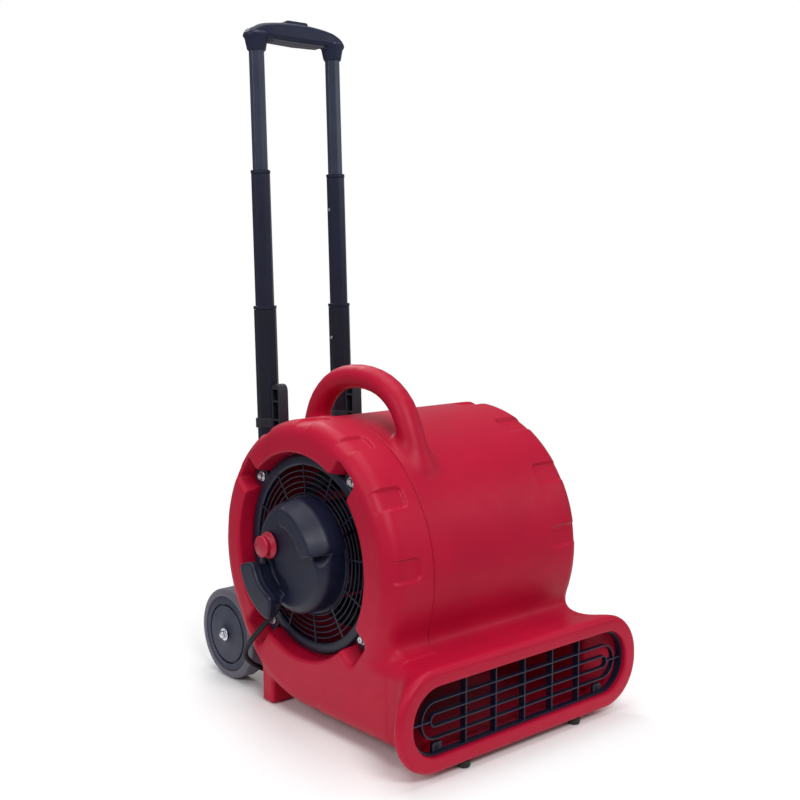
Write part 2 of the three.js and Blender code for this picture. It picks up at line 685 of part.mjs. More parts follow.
// A ribbed channel that stands behind the drum, in front of its pole.
function poleBracket(side) {
  const x = side * POLE.x;
  const { wide, front, back, bottom, top, wall } = BRACKET;
  const r = (back - front) / 2;
  const mid = (front + back) / 2;
  const round = Array.from({ length: 7 }, (_, i) => {
    const a = 30 * i * DEG;
    return [mid + r * Math.cos(a), top - r + r * Math.sin(a)];
  });
  const body = slabX([[front, bottom], [back, bottom], ...round].map(leaned), x - wide / 2, x + wide / 2);
  const heights = [bottom + 4, bottom + 42, bottom + 80, bottom + 112, bottom + 136, top - r - 16, top - 6];
  const pockets = heights.slice(0, -1).map((z, i) => {
    const above = heights[i + 1] - 3;
    const corners = [[front + wall, z], [back - wall, z], [back - wall, above], [front + wall, above]];
    return slabX(corners.map(leaned), x - wide / 2 - 1, x + wide / 2 - wall);
  });
  return cut(body, pockets, slabX(scroll(-0.5), -DRUM.halfWidth, DRUM.halfWidth));
}

// A collar that ties the bracket to its pole.
function poleClamp(side) {
  const x = side * POLE.x;
  const { bottom, tall, wall } = CLAMP;
  const hole = slabZ(octagon(POLE.outer + 2 * GAP, x), bottom - 1, bottom + tall + 1);
  return cut(slabZ(octagon(POLE.outer + 2 * wall, x), bottom, bottom + tall), hole);
}

// ---------------------------------------------------------------- lower bracket
// Upright in the machine's own frame.

// Holds the axle and the foot of one pole, and reaches forward to the back of the drum.
function frameFoot(side) {
  const x = side * POLE.x;
  const socketTop = 132;
  const block = box([x - 24, x + 24], [POLE.y - 24, POLE.y + 24], [58, socketTop]);
  const arm = box([x - 13, x + 13], [140, POLE.y - 20], [84, 124]);
  const lean = new THREE.Matrix4().makeRotationX(-POLE.lean * DEG).setPosition(0, POLE.y, POLE.z);
  const socket = new THREE.ExtrudeGeometry(
    new THREE.Shape(octagon(POLE.outer + 2 * GAP, x).map(([px, py]) => new THREE.Vector2(px, py))),
    { depth: 80, bevelEnabled: false });
  socket.translate(0, 0, RISE.outerBottom - GAP).applyMatrix4(lean);
  return cut(join(block, arm), solid(socket),
    rodX(WHEEL.axle + GAP, x - 30, x + 30, WHEEL.y, WHEEL.z, 20),
    slabX(scroll(-0.5), -DRUM.halfWidth, DRUM.halfWidth));
}

// ---------------------------------------------------------------- cord

// A tapered sleeve that leaves the cover's side wall, pointing away from the fan axis.
function strainRelief() {
  const g = new THREE.LatheGeometry(
    [
      [0, -7], [8.5, -7], [8.5, -4.5], [6, -4.5], [6, 5], [8, 5], [8, 8],
      [5.6, STRAIN.length], [0, STRAIN.length],
    ].map(([r, h]) => new THREE.Vector2(r, h)), 16);
  const [y, z] = polar(FAN, STRAIN.from, STRAIN.angle);
  return solid(g.rotateX(STRAIN.angle * DEG).translate(STRAIN.x, y, z));
}

// The lead from the strain relief, round the wheel and in under the drum to the coil.
const LEAD = [
  [-186, 59.5, 159.3], [-188.2, 66, 149.7], [-193.5, 73.3, 138.9], [-198, 79, 130.7],
  [-201.5, 84.2, 123.7], [-204.5, 91.5, 114.3], [-206.6, 99.5, 104.8], [-207, 108, 95.5],
  [-206.5, 118, 82.5],
  [-203, 123, 70], [-190, 124, 55], [-168, 125, 41], [-145, 126, 26],
  [-123, 129, 12], [-106, 138, 5.4], [-92, 153, 4.5], [-83, 172, 4.5],
];

// The tail from the coil to the plug, forward along the floor under the drum.
const TAIL = [
  [100.8, 192, 4.5], [102.5, 176, 4.5], [108, 158, 5.5], [113.8, 143, 9.6], [115, 129, 11],
];

function cordTube(points) {
  const path = new THREE.CatmullRomCurve3(points.map((p) => new THREE.Vector3(...p)));
  const steps = Math.round(path.getLength() / (2.2 * CORD.d));
  return swept(path, CORD.d, CORD.d, CORD.sides, steps);
}

function cordCoil() {
  const { inner, outer, bottom, top } = COIL;
  const g = new THREE.LatheGeometry(
    [
      [inner, bottom], [outer - 3, bottom], [outer, bottom + 4], [outer, top - 4],
      [outer - 3, top], [inner, top], [inner, bottom],
    ].map(([r, h]) => new THREE.Vector2(r, h)), 28);
  return solid(g.rotateX(Math.PI / 2).translate(COIL.x, COIL.y, 0));
}

// A three-pin plug, lying along Y with its blades to the front.
function plug() {
  const x = 115;
  const z = 12;
  const body = join(
    rodAlongY(6.5, 108, 128, x, z - 1, 14),
    slabY(roundedRect(x - 12.5, x + 12.5, 0.3, 24, 6, 3), 84, 112, 0),
  );
  const blades = [-6, 6].map((d) => box([x + d - 0.8, x + d + 0.8], [66, 86], [z + 1, z + 7]));
  const earth = rodAlongY(2.4, 63, 86, x, z - 5, 10);
  return join(body, blades, earth);
}

// ---------------------------------------------------------------- assembly

const part = new THREE.Group();
const add = (name, shape, material, parent = part) => parent.add(meshOf(name, shape, material));
const SIDES = [["left", -1], ["right", 1]];

add("housing", housing(), RED);
add("inlet_guard_motor_side", inletGuard(-1, GUARD.eye), BLACK);
add("inlet_guard_far_side", inletGuard(1, 0), BLACK);
for (const [where, side] of [["motor_side", -1], ["far_side", 1]]) {
  screwAngles.forEach((a, i) => {
    const seat = INLET.floor + GAP + 5 + GAP;
    const screw = screwX(side, seat, ...polar(FAN, INLET.screwCircle, a), 16);
    add(`guard_screw_${where}_${i + 1}`, screw, ZINC);
  });
}

add("motor_can", motorCan(), PAINTED_STEEL);
add("motor_mount_ring", motorMountRing(), ZINC);
add("motor_shaft", rodX(MOTOR.shaft, MOTOR.front - 42, 40, FAN.y, FAN.z, 20), STEEL);
add("blower_wheel", blowerWheel(), BLACK);
add("blower_wheel_nut", blowerWheelNut(), ZINC);
add("motor_cover", motorCover(), BLACK);
add("speed_knob", speedKnob(), RED);
add("speed_switch", speedSwitch(), SOFT_BLACK);
add("run_capacitor", runCapacitor(), WHITE_CAN);

add("outlet_grille", outletGrille(), BLACK);

add("axle", axleRod(), STEEL);
for (const [where, side] of SIDES) {
  add(`grille_screw_${where}`, grilleScrew(side), ZINC);
  add(`front_foot_${where}`, frontFoot(side), SOFT_BLACK);
  add(`wheel_hub_${where}`, wheelHub(side), BLACK);
  add(`tyre_${where}`, tyre(side), TYRE);
  add(`axle_bolt_${where}`, axleBolt(side), ZINC);
  add(`frame_foot_${where}`, frameFoot(side), SOFT_BLACK);
}

const handle = new THREE.Group();
handle.position.set(0, POLE.y, POLE.z);
handle.rotation.x = -POLE.lean * DEG;
part.add(handle);
for (const [where, side] of SIDES) {
  add(`outer_tube_${where}`, outerTube(side), PAINTED_TUBE, handle);
  add(`outer_tube_cap_${where}`, tubeCap(side, POLE.outer, POLE.middle, RISE.outerTop), BLACK, handle);
  add(`outer_lock_pin_${where}`, lockPin(side, POLE.outer, RISE.middleBottom), ZINC, handle);
  add(`middle_tube_${where}`, middleTube(side), PAINTED_TUBE, handle);
  add(`middle_tube_cap_${where}`, tubeCap(side, POLE.middle, POLE.inner, RISE.middleTop), BLACK, handle);
  add(`middle_lock_pin_${where}`, lockPin(side, POLE.middle, RISE.innerBottom), ZINC, handle);
  add(`inner_tube_${where}`, innerTube(side), PAINTED_TUBE, handle);
  add(`pole_bracket_${where}`, poleBracket(side), BLACK);
  add(`pole_clamp_${where}`, poleClamp(side), SOFT_BLACK, handle);
}
add("grip", grip(), BLACK, handle);
add("grip_pad", gripPad(), SOFT_BLACK, handle);
add("release_button", releaseButton(), BLACK, handle);

add("strain_relief", strainRelief(), SOFT_BLACK);
add("cord_lead", cordTube(LEAD), SOFT_BLACK);
add("cord_coil", cordCoil(), SOFT_BLACK);
add("cord_tail", cordTube(TAIL), SOFT_BLACK);
add("plug", plug(), SOFT_BLACK);

part.position.y = -(MOUTH.front + WHEEL.y + WHEEL.r) / 2;

export default part;
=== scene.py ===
"""The looks of a commercial air mover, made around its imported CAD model.

Sizes are in millimetres in the model's own frame: +Z up, the outlet towards -Y, the motor on -X.
"""

import math

import bmesh
import bpy
import numpy as np
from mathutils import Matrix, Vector


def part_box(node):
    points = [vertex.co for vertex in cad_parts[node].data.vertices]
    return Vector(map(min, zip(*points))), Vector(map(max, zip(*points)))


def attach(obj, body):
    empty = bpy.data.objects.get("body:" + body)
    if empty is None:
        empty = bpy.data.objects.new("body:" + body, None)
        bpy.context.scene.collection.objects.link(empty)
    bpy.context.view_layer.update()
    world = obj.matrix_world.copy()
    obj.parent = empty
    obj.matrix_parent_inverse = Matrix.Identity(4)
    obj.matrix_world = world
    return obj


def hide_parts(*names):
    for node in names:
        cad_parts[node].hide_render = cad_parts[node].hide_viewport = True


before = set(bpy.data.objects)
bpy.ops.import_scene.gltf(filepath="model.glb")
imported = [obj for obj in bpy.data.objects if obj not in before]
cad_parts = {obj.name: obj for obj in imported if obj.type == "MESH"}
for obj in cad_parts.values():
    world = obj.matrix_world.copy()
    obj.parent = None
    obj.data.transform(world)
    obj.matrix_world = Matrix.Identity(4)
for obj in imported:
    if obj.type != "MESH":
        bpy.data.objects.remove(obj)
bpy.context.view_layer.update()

MM = 0.001
FLOOR_REACH = 2.4  # metres
SIDES = (("left", -1), ("right", 1))


def low(node):
    return np.array(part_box(node)[0]) / MM


def high(node):
    return np.array(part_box(node)[1]) / MM


def middle(node):
    return (low(node) + high(node)) / 2


# ---------------------------------------------------------------- places, from the frame

FAN_Y, FAN_Z = middle("motor_shaft")[1:]
DRUM_Y, DRUM_Z, DRUM_R, DRUM_HALF = FAN_Y - 7, FAN_Z - 7, 209, 196
FRONT_Y = low("housing")[1]
INLET_FLOOR = low("inlet_guard_far_side")[0] - 0.3  # how far the recesses' floors are from the middle
HORN_FRONT = -low("motor_cover")[0]
SCREW_ANGLES = (39, 129, 219, 309)  # round the fan axis, from the rear upwards
SCREW_CIRCLE = 160
RECESS_R, FAN_HOLE_R, RECESS_WALL = 155, 138, 6.5
SEAM_X = -118
CARRY_X = -78
WHEEL_Y, WHEEL_Z = middle("tyre_left")[1:]
POLE_Y, POLE_Z, POLE_LEAN = 217, 75, math.radians(2)
POLE_X = 78


# ---------------------------------------------------------------- camera, floor and lights


def make_camera():
    """The view from the front left, seven degrees above the horizon."""
    azimuth, elevation = math.radians(-40.98), math.radians(7.0)
    back = Vector((
        math.sin(azimuth) * math.cos(elevation),
        -math.cos(azimuth) * math.cos(elevation),
        math.sin(elevation),
    ))
    data = bpy.data.cameras.new("camera")
    data.lens = 53.06
    data.sensor_width = 36
    camera = bpy.data.objects.new("camera", data)
    camera.location = (-1.1994, -1.3980, 0.6991)
    camera.rotation_mode = "QUATERNION"
    camera.rotation_quaternion = (-back).to_track_quat("-Z", "Y")
    bpy.context.scene.collection.objects.link(camera)
    bpy.context.scene.camera = camera


def area_light(name, place, aim, size, power):
    data = bpy.data.lights.new(name, "AREA")
    data.shape = "RECTANGLE"
    data.size, data.size_y = size
    data.energy = power
    light = bpy.data.objects.new(name, data)
    light.location = place
    light.rotation_mode = "QUATERNION"
    light.rotation_quaternion = (Vector(aim) - Vector(place)).to_track_quat("-Z", "Y")
    bpy.context.scene.collection.objects.link(light)


def make_studio():
    world = bpy.data.worlds.new("studio")
    world.use_nodes = True
    nodes, links = world.node_tree.nodes, world.node_tree.links
    soft = nodes["Background"]
    soft.inputs["Color"].default_value = (0.95, 0.97, 1, 1)
    soft.inputs["Strength"].default_value = 0.30
    white = nodes.new("ShaderNodeBackground")
    white.inputs["Color"].default_value = (1, 1, 1, 1)
    seen = nodes.new("ShaderNodeLightPath")
    mix = nodes.new("ShaderNodeMixShader")
    links.new(seen.outputs["Is Camera Ray"], mix.inputs["Fac"])
    links.new(soft.outputs["Background"], mix.inputs[1])
    links.new(white.outputs["Background"], mix.inputs[2])
    links.new(mix.outputs["Shader"], nodes["World Output"].inputs["Surface"])
    bpy.context.scene.world = world
    bpy.context.scene.view_settings.view_transform = "Standard"
    area_light("key", (-1.0, -2.6, 2.7), (0, 0, 0.3), (1.3, 1.0), 56)
    area_light("side", (-2.8, -0.2, 1.9), (0, 0, 0.3), (1.0, 1.2), 22)
    area_light("fill", (2.2, -1.9, 1.5), (0, -0.1, 0.2), (1.0, 1.0), 7)
    area_light("rim", (0.9, 2.4, 2.3), (0, 0, 0.5), (1.4, 1.0), 26)
    area_light("overhead", (0.1, 0.2, 3.4), (0, 0, 0), (2.4, 2.4), 52)
    floor = bpy.data.meshes.new("floor")
    edge = [(FLOOR_REACH * math.cos(a), FLOOR_REACH * math.sin(a), 0)
            for a in np.linspace(0, 2 * math.pi, 64, endpoint=False)]
    floor.from_pydata(edge, [], [tuple(range(64))])
    plane = bpy.data.objects.new("floor", floor)
    bpy.context.scene.collection.objects.link(plane)
    floor.materials.append(plain_floor())


def plain_floor():
    """Pale and matt, fading out with distance from the middle, so that no horizon shows."""
    material, nodes, links, shader = new_material("studio_floor")
    shader.inputs["Base Color"].default_value = (0.97, 0.97, 0.97, 1)
    shader.inputs["Roughness"].default_value = 0.95
    shader.inputs["Specular IOR Level"].default_value = 0.1
    place = nodes.new("ShaderNodeTexCoord")
    length = nodes.new("ShaderNodeVectorMath")
    length.operation = "LENGTH"
    links.new(place.outputs["Object"], length.inputs[0])
    fade = nodes.new("ShaderNodeMapRange")
    fade.interpolation_type = "SMOOTHSTEP"
    fade.inputs["From Min"].default_value = 0.3
    fade.inputs["From Max"].default_value = FLOOR_REACH * 0.6
    fade.inputs["To Min"].default_value = 1
    fade.inputs["To Max"].default_value = 0
    links.new(length.outputs["Value"], fade.inputs["Value"])
    links.new(fade.outputs["Result"], shader.inputs["Alpha"])
    return material


# ---------------------------------------------------------------- materials


def new_material(name):
    material = bpy.data.materials.new(name)
    material.use_nodes = True
    nodes, links = material.node_tree.nodes, material.node_tree.links
    return material, nodes, links, nodes["Principled BSDF"]


def noise(nodes, links, scale, detail=2.0, roughness=0.5):
    """A noise texture in the piece's own coordinates; the scale is in cells a metre."""
    place = nodes.new("ShaderNodeTexCoord")
    texture = nodes.new("ShaderNodeTexNoise")
    texture.inputs["Scale"].default_value = scale
    texture.inputs["Detail"].default_value = detail
    texture.inputs["Roughness"].default_value = roughness
    links.new(place.outputs["Object"], texture.inputs["Vector"])
    return texture.outputs["Fac"]


def vary_colour(nodes, links, shader, fac, low_colour, high_colour, ends=(0.35, 0.65)):
    ramp = nodes.new("ShaderNodeValToRGB")
    ramp.color_ramp.elements[0].position, ramp.color_ramp.elements[1].position = ends
    ramp.color_ramp.elements[0].color = (*low_colour, 1)
    ramp.color_ramp.elements[1].color = (*high_colour, 1)
    links.new(fac, ramp.inputs["Fac"])
    links.new(ramp.outputs["Color"], shader.inputs["Base Color"])


def vary_roughness(nodes, links, shader, fac, from_value, to_value):
    span = nodes.new("ShaderNodeMapRange")
    span.inputs["From Min"].default_value = 0.3
    span.inputs["From Max"].default_value = 0.7
    span.inputs["To Min"].default_value = from_value
    span.inputs["To Max"].default_value = to_value
    links.new(fac, span.inputs["Value"])
    links.new(span.outputs["Result"], shader.inputs["Roughness"])


def bump(nodes, links, shader, *layers):
    """Bump from (height output, distance in millimetres) layers, finest first."""
    normal = None
    for height, distance in layers:
        node = nodes.new("ShaderNodeBump")
        node.inputs["Strength"].default_value = 1.0
        node.inputs["Distance"].default_value = distance * MM
        links.new(height, node.inputs["Height"])
        if normal is not None:
            links.new(normal, node.inputs["Normal"])
        normal = node.outputs["Normal"]
    links.new(normal, shader.inputs["Normal"])


def moulded(name, colour, roughness, grain=1100, depth=0.05, tint=0.12, sheen=0.0, gloss=0.5):
    """Moulded plastic or rubber: a fine grain, a slow waviness and a slight change of colour and gloss."""
    material, nodes, links, shader = new_material(name)
    darker = [c * (1 - tint) for c in colour]
    lighter = [c * (1 + tint) + 0.001 for c in colour]
    vary_colour(nodes, links, shader, noise(nodes, links, 9, 4), darker, lighter)
    vary_roughness(nodes, links, shader, noise(nodes, links, 45, 5, 0.65), roughness - 0.05, roughness + 0.07)
    fine, slow = noise(nodes, links, grain, 3), noise(nodes, links, 70, 2)
    bump(nodes, links, shader, (fine, depth), (slow, depth * 1.6))
    shader.inputs["Sheen Weight"].default_value = sheen
    shader.inputs["Specular IOR Level"].default_value = gloss
    return material


def metal(name, colour, roughness, scale=260, depth=0.012, metallic=1.0):
    material, nodes, links, shader = new_material(name)
    shader.inputs["Metallic"].default_value = metallic
    vary_colour(nodes, links, shader, noise(nodes, links, 60, 4), [c * 0.86 for c in colour], colour)
    wear = noise(nodes, links, scale, 6, 0.7)
    vary_roughness(nodes, links, shader, wear, roughness * 0.75, roughness * 1.3)
    bump(nodes, links, shader, (noise(nodes, links, scale * 3, 3), depth))
    return material


def painted(name, colour, roughness, coat):
    """Satin paint over metal tube, with a fine orange peel and a clear coat."""
    material, nodes, links, shader = new_material(name)
    shader.inputs["Metallic"].default_value = 0.35
    vary_colour(nodes, links, shader, noise(nodes, links, 16, 4), [c * 0.85 for c in colour],
                [c * 1.12 for c in colour])
    vary_roughness(nodes, links, shader, noise(nodes, links, 90, 5, 0.6), roughness - 0.02, roughness + 0.03)
    bump(nodes, links, shader, (noise(nodes, links, 900, 3), 0.012), (noise(nodes, links, 140, 2), 0.01))
    shader.inputs["Coat Weight"].default_value = coat
    shader.inputs["Coat Roughness"].default_value = 0.25
    return material


def make_materials():
    return {
        "housing_red": moulded("housing_red", (0.45, 0.003, 0.030), 0.43, 1500, 0.035, 0.05, gloss=0.2),
        "moulded_black": moulded("moulded_black", (0.007, 0.009, 0.027), 0.40, 1300, 0.05, gloss=0.36),
        "hub_black": moulded("hub_black", (0.017, 0.021, 0.050), 0.46, 1200, 0.05, gloss=0.4),
        "bracket_black": moulded("bracket_black", (0.010, 0.011, 0.019), 0.42, 1300, 0.05),
        "grip_black": moulded("grip_black", (0.011, 0.014, 0.040), 0.40, 1200, 0.05, gloss=0.35),
        "grip_rubber": moulded("grip_rubber", (0.055, 0.055, 0.075), 0.6, 900, 0.06, 0.12, 0.1),
        "blower_black": moulded("blower_black", (0.007, 0.007, 0.010), 0.5, 900, 0.05, gloss=0.3),
        "knob_red": moulded("knob_red", (0.42, 0.004, 0.030), 0.36, 1400, 0.03, 0.05),
        "foot_rubber": moulded("foot_rubber", (0.010, 0.010, 0.011), 0.75, 800, 0.08, 0.2, 0.1),
        "tyre_grey": moulded("tyre_grey", (0.115, 0.106, 0.140), 0.68, 700, 0.10, 0.10, 0.1),
        "cord_black": moulded("cord_black", (0.006, 0.007, 0.010), 0.5, 900, 0.05, 0.15, gloss=0.3),
        "switch_black": moulded("switch_black", (0.02, 0.02, 0.02), 0.5),
        "capacitor_case": moulded("capacitor_case", (0.65, 0.65, 0.6), 0.45),
        "motor_paint": painted("motor_paint", (0.03, 0.032, 0.042), 0.5, 0.0),
        "tube_outer_paint": painted("tube_outer_paint", (0.008, 0.009, 0.022), 0.36, 0.1),
        "tube_middle_paint": painted("tube_middle_paint", (0.011, 0.012, 0.034), 0.34, 0.1),
        "tube_inner_paint": painted("tube_inner_paint", (0.034, 0.040, 0.072), 0.30, 0.15),
        "zinc": metal("zinc", (0.72, 0.74, 0.78), 0.26),
        "bright_steel": metal("bright_steel", (0.45, 0.46, 0.48), 0.3),
        "brass": metal("brass", (0.72, 0.52, 0.24), 0.3),
    }


# ---------------------------------------------------------------- meshes


class Faces:
    """Vertices and faces of one piece, gathered from several closed parts."""

    def __init__(self):
        self.vertices = []
        self.faces = []

    def add(self, vertices, faces):
        start = len(self.vertices)
        self.vertices += [tuple(float(c) for c in v) for v in vertices]
        self.faces += [tuple(int(i) + start for i in face) for face in faces]
        return self


def grid_faces(rows, columns, wrap_rows=False):
    """Quads between rings of vertices; each ring is closed."""
    faces = []
    for i in range(rows if wrap_rows else rows - 1):
        for j in range(columns):
            a, b = i * columns + j, i * columns + (j + 1) % columns
            c, d = ((i + 1) % rows) * columns + (j + 1) % columns, ((i + 1) % rows) * columns + j
            faces.append((a, b, c, d))
    return faces


def frame_of(direction):
    """Two unit vectors square to a direction."""
    axis = np.array(direction, float) / np.linalg.norm(direction)
    other = np.array((0, 0, 1.0)) if abs(axis[2]) < 0.9 else np.array((0, 1.0, 0))
    u = np.cross(other, axis)
    u /= np.linalg.norm(u)
    return axis, u, np.cross(axis, u)


def lathe(faces, profile, origin, direction, sides=72):
    """A turned part. The profile is a closed list of (radius, height); a radius of 0 is on the axis."""
    axis, u, v = frame_of(direction)
    origin = np.array(origin, float)
    turn = np.linspace(0, 2 * math.pi, sides, endpoint=False)
    ring = np.outer(np.cos(turn), u) + np.outer(np.sin(turn), v)
    vertices = [origin + axis * h + ring * r for r, h in profile]
    return faces.add(np.concatenate(vertices), grid_faces(len(profile), sides, wrap_rows=True))


def tube(faces, points, radius, sides=8, closed=True, flat=1.0):
    """A round or flattened rod along points. An open one gets flat ends."""
    points = np.array(points, float)
    count = len(points)
    rings = []
    for i, point in enumerate(points):
        if closed:
            along = points[(i + 1) % count] - points[i - 1]
        else:
            along = points[min(i + 1, count - 1)] - points[max(i - 1, 0)]
        _, u, v = frame_of(along)
        turn = np.linspace(0, 2 * math.pi, sides, endpoint=False)
        rings.append(point + radius * (np.outer(np.cos(turn), u) + flat * np.outer(np.sin(turn), v)))
    quads = grid_faces(count, sides, wrap_rows=closed)
    if not closed:
        quads += [tuple(range(sides)), tuple(range((count - 1) * sides, count * sides))]
    return faces.add(np.concatenate(rings), quads)


def prism(faces, outline, place, near, far):
    """An outline of (u, v) points, extruded between two depths; place turns (u, v, depth) into (x, y, z)."""
    count = len(outline)
    vertices = [place(u, v, depth) for depth in (near, far) for u, v in outline]
    sides = grid_faces(2, count)
    return faces.add(vertices, sides + [tuple(range(count)), tuple(range(count, 2 * count))])


def band(faces, outer, inner, place, near, far):
    """A closed band between two outlines with the same number of points, extruded between two depths."""
    count = len(outer)
    rings = [(outer, near), (outer, far), (inner, far), (inner, near)]
    vertices = [place(u, v, depth) for outline, depth in rings for u, v in outline]
    return faces.add(vertices, grid_faces(4, count, wrap_rows=True))


def rounded_rectangle(u0, u1, v0, v1, r, per_corner=10):
    centres = ((u1 - r, v0 + r, -90), (u1 - r, v1 - r, 0), (u0 + r, v1 - r, 90), (u0 + r, v0 + r, 180))
    points = []
    for cu, cv, start in centres:
        for i in range(per_corner + 1):
            a = math.radians(start + 90 * i / per_corner)
            points.append((cu + r * math.cos(a), cv + r * math.sin(a)))
    return points


def finish_mesh(piece, sharp):
    piece.data.shade_smooth()
    piece.data.set_sharp_from_angle(angle=math.radians(sharp))


def make_piece(name, faces, slot, body="root", replaces=(), bevel=0.0, sharp=35, clean=True):
    """One Blender object in metres, with its finish, on its body."""
    mesh = bpy.data.meshes.new(name)
    mesh.from_pydata([(x * MM, y * MM, z * MM) for x, y, z in faces.vertices], [], faces.faces)
    if clean:
        work = bmesh.new()
        work.from_mesh(mesh)
        bmesh.ops.remove_doubles(work, verts=work.verts, dist=1e-6)
        bmesh.ops.dissolve_degenerate(work, edges=work.edges, dist=1e-7)
        bmesh.ops.recalc_face_normals(work, faces=work.faces)
        work.to_mesh(mesh)
        work.free()
    piece = bpy.data.objects.new(name, mesh)
    bpy.context.scene.collection.objects.link(piece)
    finish_mesh(piece, sharp)
    if bevel:
        add_bevel(piece, bevel)
    mesh.materials.append(MATERIALS[slot])
    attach(piece, body)
    if replaces:
        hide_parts(*replaces)
    return piece


def add_bevel(piece, width, segments=3):
    modifier = piece.modifiers.new("edges", "BEVEL")
    modifier.width = width * MM
    modifier.segments = segments
    modifier.limit_method = "ANGLE"
    modifier.angle_limit = math.radians(32)
    modifier.harden_normals = True
    modifier.use_clamp_overlap = True


# ---------------------------------------------------------------- fields and their surfaces
# A field is negative inside a solid and about the distance from its surface, so that solids can be blended.


def smooth_step(t):
    t = np.clip(t, 0, 1)
    return t * t * (3 - 2 * t)


def smooth_min(a, b, k):
    h = np.clip(0.5 + 0.5 * (b - a) / k, 0, 1)
    return b + (a - b) * h - k * h * (1 - h)


def smooth_max(a, b, k):
    return -smooth_min(-a, -b, k)


def corner(a, b, r):
    """Where a and b are both negative, with the edge between them rounded to r."""
    a, b = a + r, b + r
    return np.minimum(np.maximum(a, b), 0) + np.hypot(np.maximum(a, 0), np.maximum(b, 0)) - r


def rectangle(u, v, half_u, half_v, r):
    return corner(np.abs(u) - half_u, np.abs(v) - half_v, r)


def catmull_rom(points, per_span):
    """A smooth curve through points, with the same number of steps in each span."""
    p = np.array(points, float)
    p = np.vstack((2 * p[0] - p[1], p, 2 * p[-1] - p[-2]))
    out = []
    for i in range(1, len(p) - 2):
        for t in np.linspace(0, 1, per_span, endpoint=False):
            a, b, c, d = p[i - 1], p[i], p[i + 1], p[i + 2]
            out.append(0.5 * (2 * b + (c - a) * t + (2 * a - 5 * b + 4 * c - d) * t**2
                              + (3 * b - a - 3 * c + d) * t**3))
    out.append(p[-2])
    return np.array(out)


def path_distance(u, v, points):
    """Distance in a plane from a line of points."""
    nearest = None
    for (u0, v0), (u1, v1) in zip(points[:-1], points[1:]):
        du, dv = u1 - u0, v1 - v0
        t = np.clip(((u - u0) * du + (v - v0) * dv) / (du * du + dv * dv), 0, 1)
        distance = np.hypot(u - u0 - t * du, v - v0 - t * dv)
        nearest = distance if nearest is None else np.minimum(nearest, distance)
    return nearest


def steps(*stretches):
    """Grid lines: each stretch is (start, end, spacing)."""
    lines = [np.arange(start, end, spacing) for start, end, spacing in stretches]
    return np.concatenate([*lines, [stretches[-1][1]]])


def net_vertices(values, axes, cells):
    """One vertex in each cell that the surface crosses, at the mean of its edges' crossings."""
    total, hits = np.zeros((len(cells), 3)), np.zeros(len(cells))
    for axis in range(3):
        for i, j in ((0, 0), (0, 1), (1, 0), (1, 1)):
            offset = np.insert([i, j], axis, 0)
            start = cells + offset
            end = start + np.eye(3, dtype=int)[axis]
            a, b = values[tuple(start.T)], values[tuple(end.T)]
            crossed = (a < 0) != (b < 0)
            share = np.where(crossed, a / np.where(crossed, a - b, 1), 0)
            point = np.stack([axes[k][start[:, k]] for k in range(3)], 1)
            point[:, axis] += share * (axes[axis][end[:, axis]] - axes[axis][start[:, axis]])
            total[crossed] += point[crossed]
            hits += crossed
    return total / hits[:, None]


def net_faces(inside, index):
    """Quads across every grid edge that the surface crosses, facing out."""
    quads = []
    for axis in range(3):
        u, v = (axis + 1) % 3, (axis + 2) % 3
        first, second = [slice(1, -1)] * 3, [slice(1, -1)] * 3
        first[axis], second[axis] = slice(None, -1), slice(1, None)
        a, b = inside[tuple(first)], inside[tuple(second)]
        edges = np.argwhere(a != b)
        out = a[tuple(edges.T)]
        edges[:, u] += 1
        edges[:, v] += 1
        step_u, step_v = np.eye(3, dtype=int)[u], np.eye(3, dtype=int)[v]
        around = [edges - step_u - step_v, edges - step_v, edges, edges - step_u]
        quad = np.stack([index[tuple(c.T)] for c in around], 1)
        quad[~out] = quad[~out][:, ::-1]
        quads.append(quad)
    return np.concatenate(quads)


def settle(field, vertices, reach):
    """Moves vertices onto the field's zero, by at most reach."""
    start, small = vertices.copy(), 0.05
    for _ in range(2):
        x, y, z = vertices.T
        value = field(x, y, z)
        slope = np.stack([
            field(x + small, y, z) - value,
            field(x, y + small, z) - value,
            field(x, y, z + small) - value,
        ], 1) / small
        size = np.maximum((slope**2).sum(1), 0.05)
        vertices = vertices - slope * (value / size)[:, None]
        vertices = start + np.clip(vertices - start, -reach, reach)
    return vertices


def field_surface(field, axes, reach=1.0):
    """The mesh of a field's zero on a grid, whose lines need not be evenly spaced."""
    x, y, z = axes[0][:, None, None], axes[1][None, :, None], axes[2][None, None, :]
    values = np.broadcast_to(field(x, y, z), [len(a) for a in axes])
    inside = values < 0
    ends = (slice(None, -1), slice(1, None))
    count = sum(inside[i, j, k].astype(np.int8) for i in ends for j in ends for k in ends)
    active = (count > 0) & (count < 8)
    cells = np.argwhere(active)
    index = np.full(active.shape, -1, np.int64)
    index[active] = np.arange(len(cells))
    vertices = settle(field, net_vertices(values, axes, cells), reach)
    return Faces().add(vertices, net_faces(inside, index))


# ---------------------------------------------------------------- housing

# Along X the notches reach from inner (left, right) to outer; first and pitch are degrees round the drum.
NOTCH = {"inner": (139, 127), "outer": 198, "half_arc": 17.5, "r": 10, "depth": 4.4,
         "first": 6.5, "pitch": 28, "count": 7}
CARRY_PATH = [(-149, 396), (-134, 436), (-111, 480), (-71, 508), (-17, 517), (37, 507), (76, 477),
              (96, 436), (103, 398)]  # y, z


def scroll(y, z):
    """The drum's outline: round over the top, and wider towards the floor."""
    dy, dz = y - DRUM_Y, z - DRUM_Z
    distance = np.hypot(dy, dz)
    from_top = np.degrees(np.arccos(np.clip(dz / np.maximum(distance, 1), -1, 1)))
    return distance - DRUM_R - 18 * smooth_step((from_top - 115) / 45)


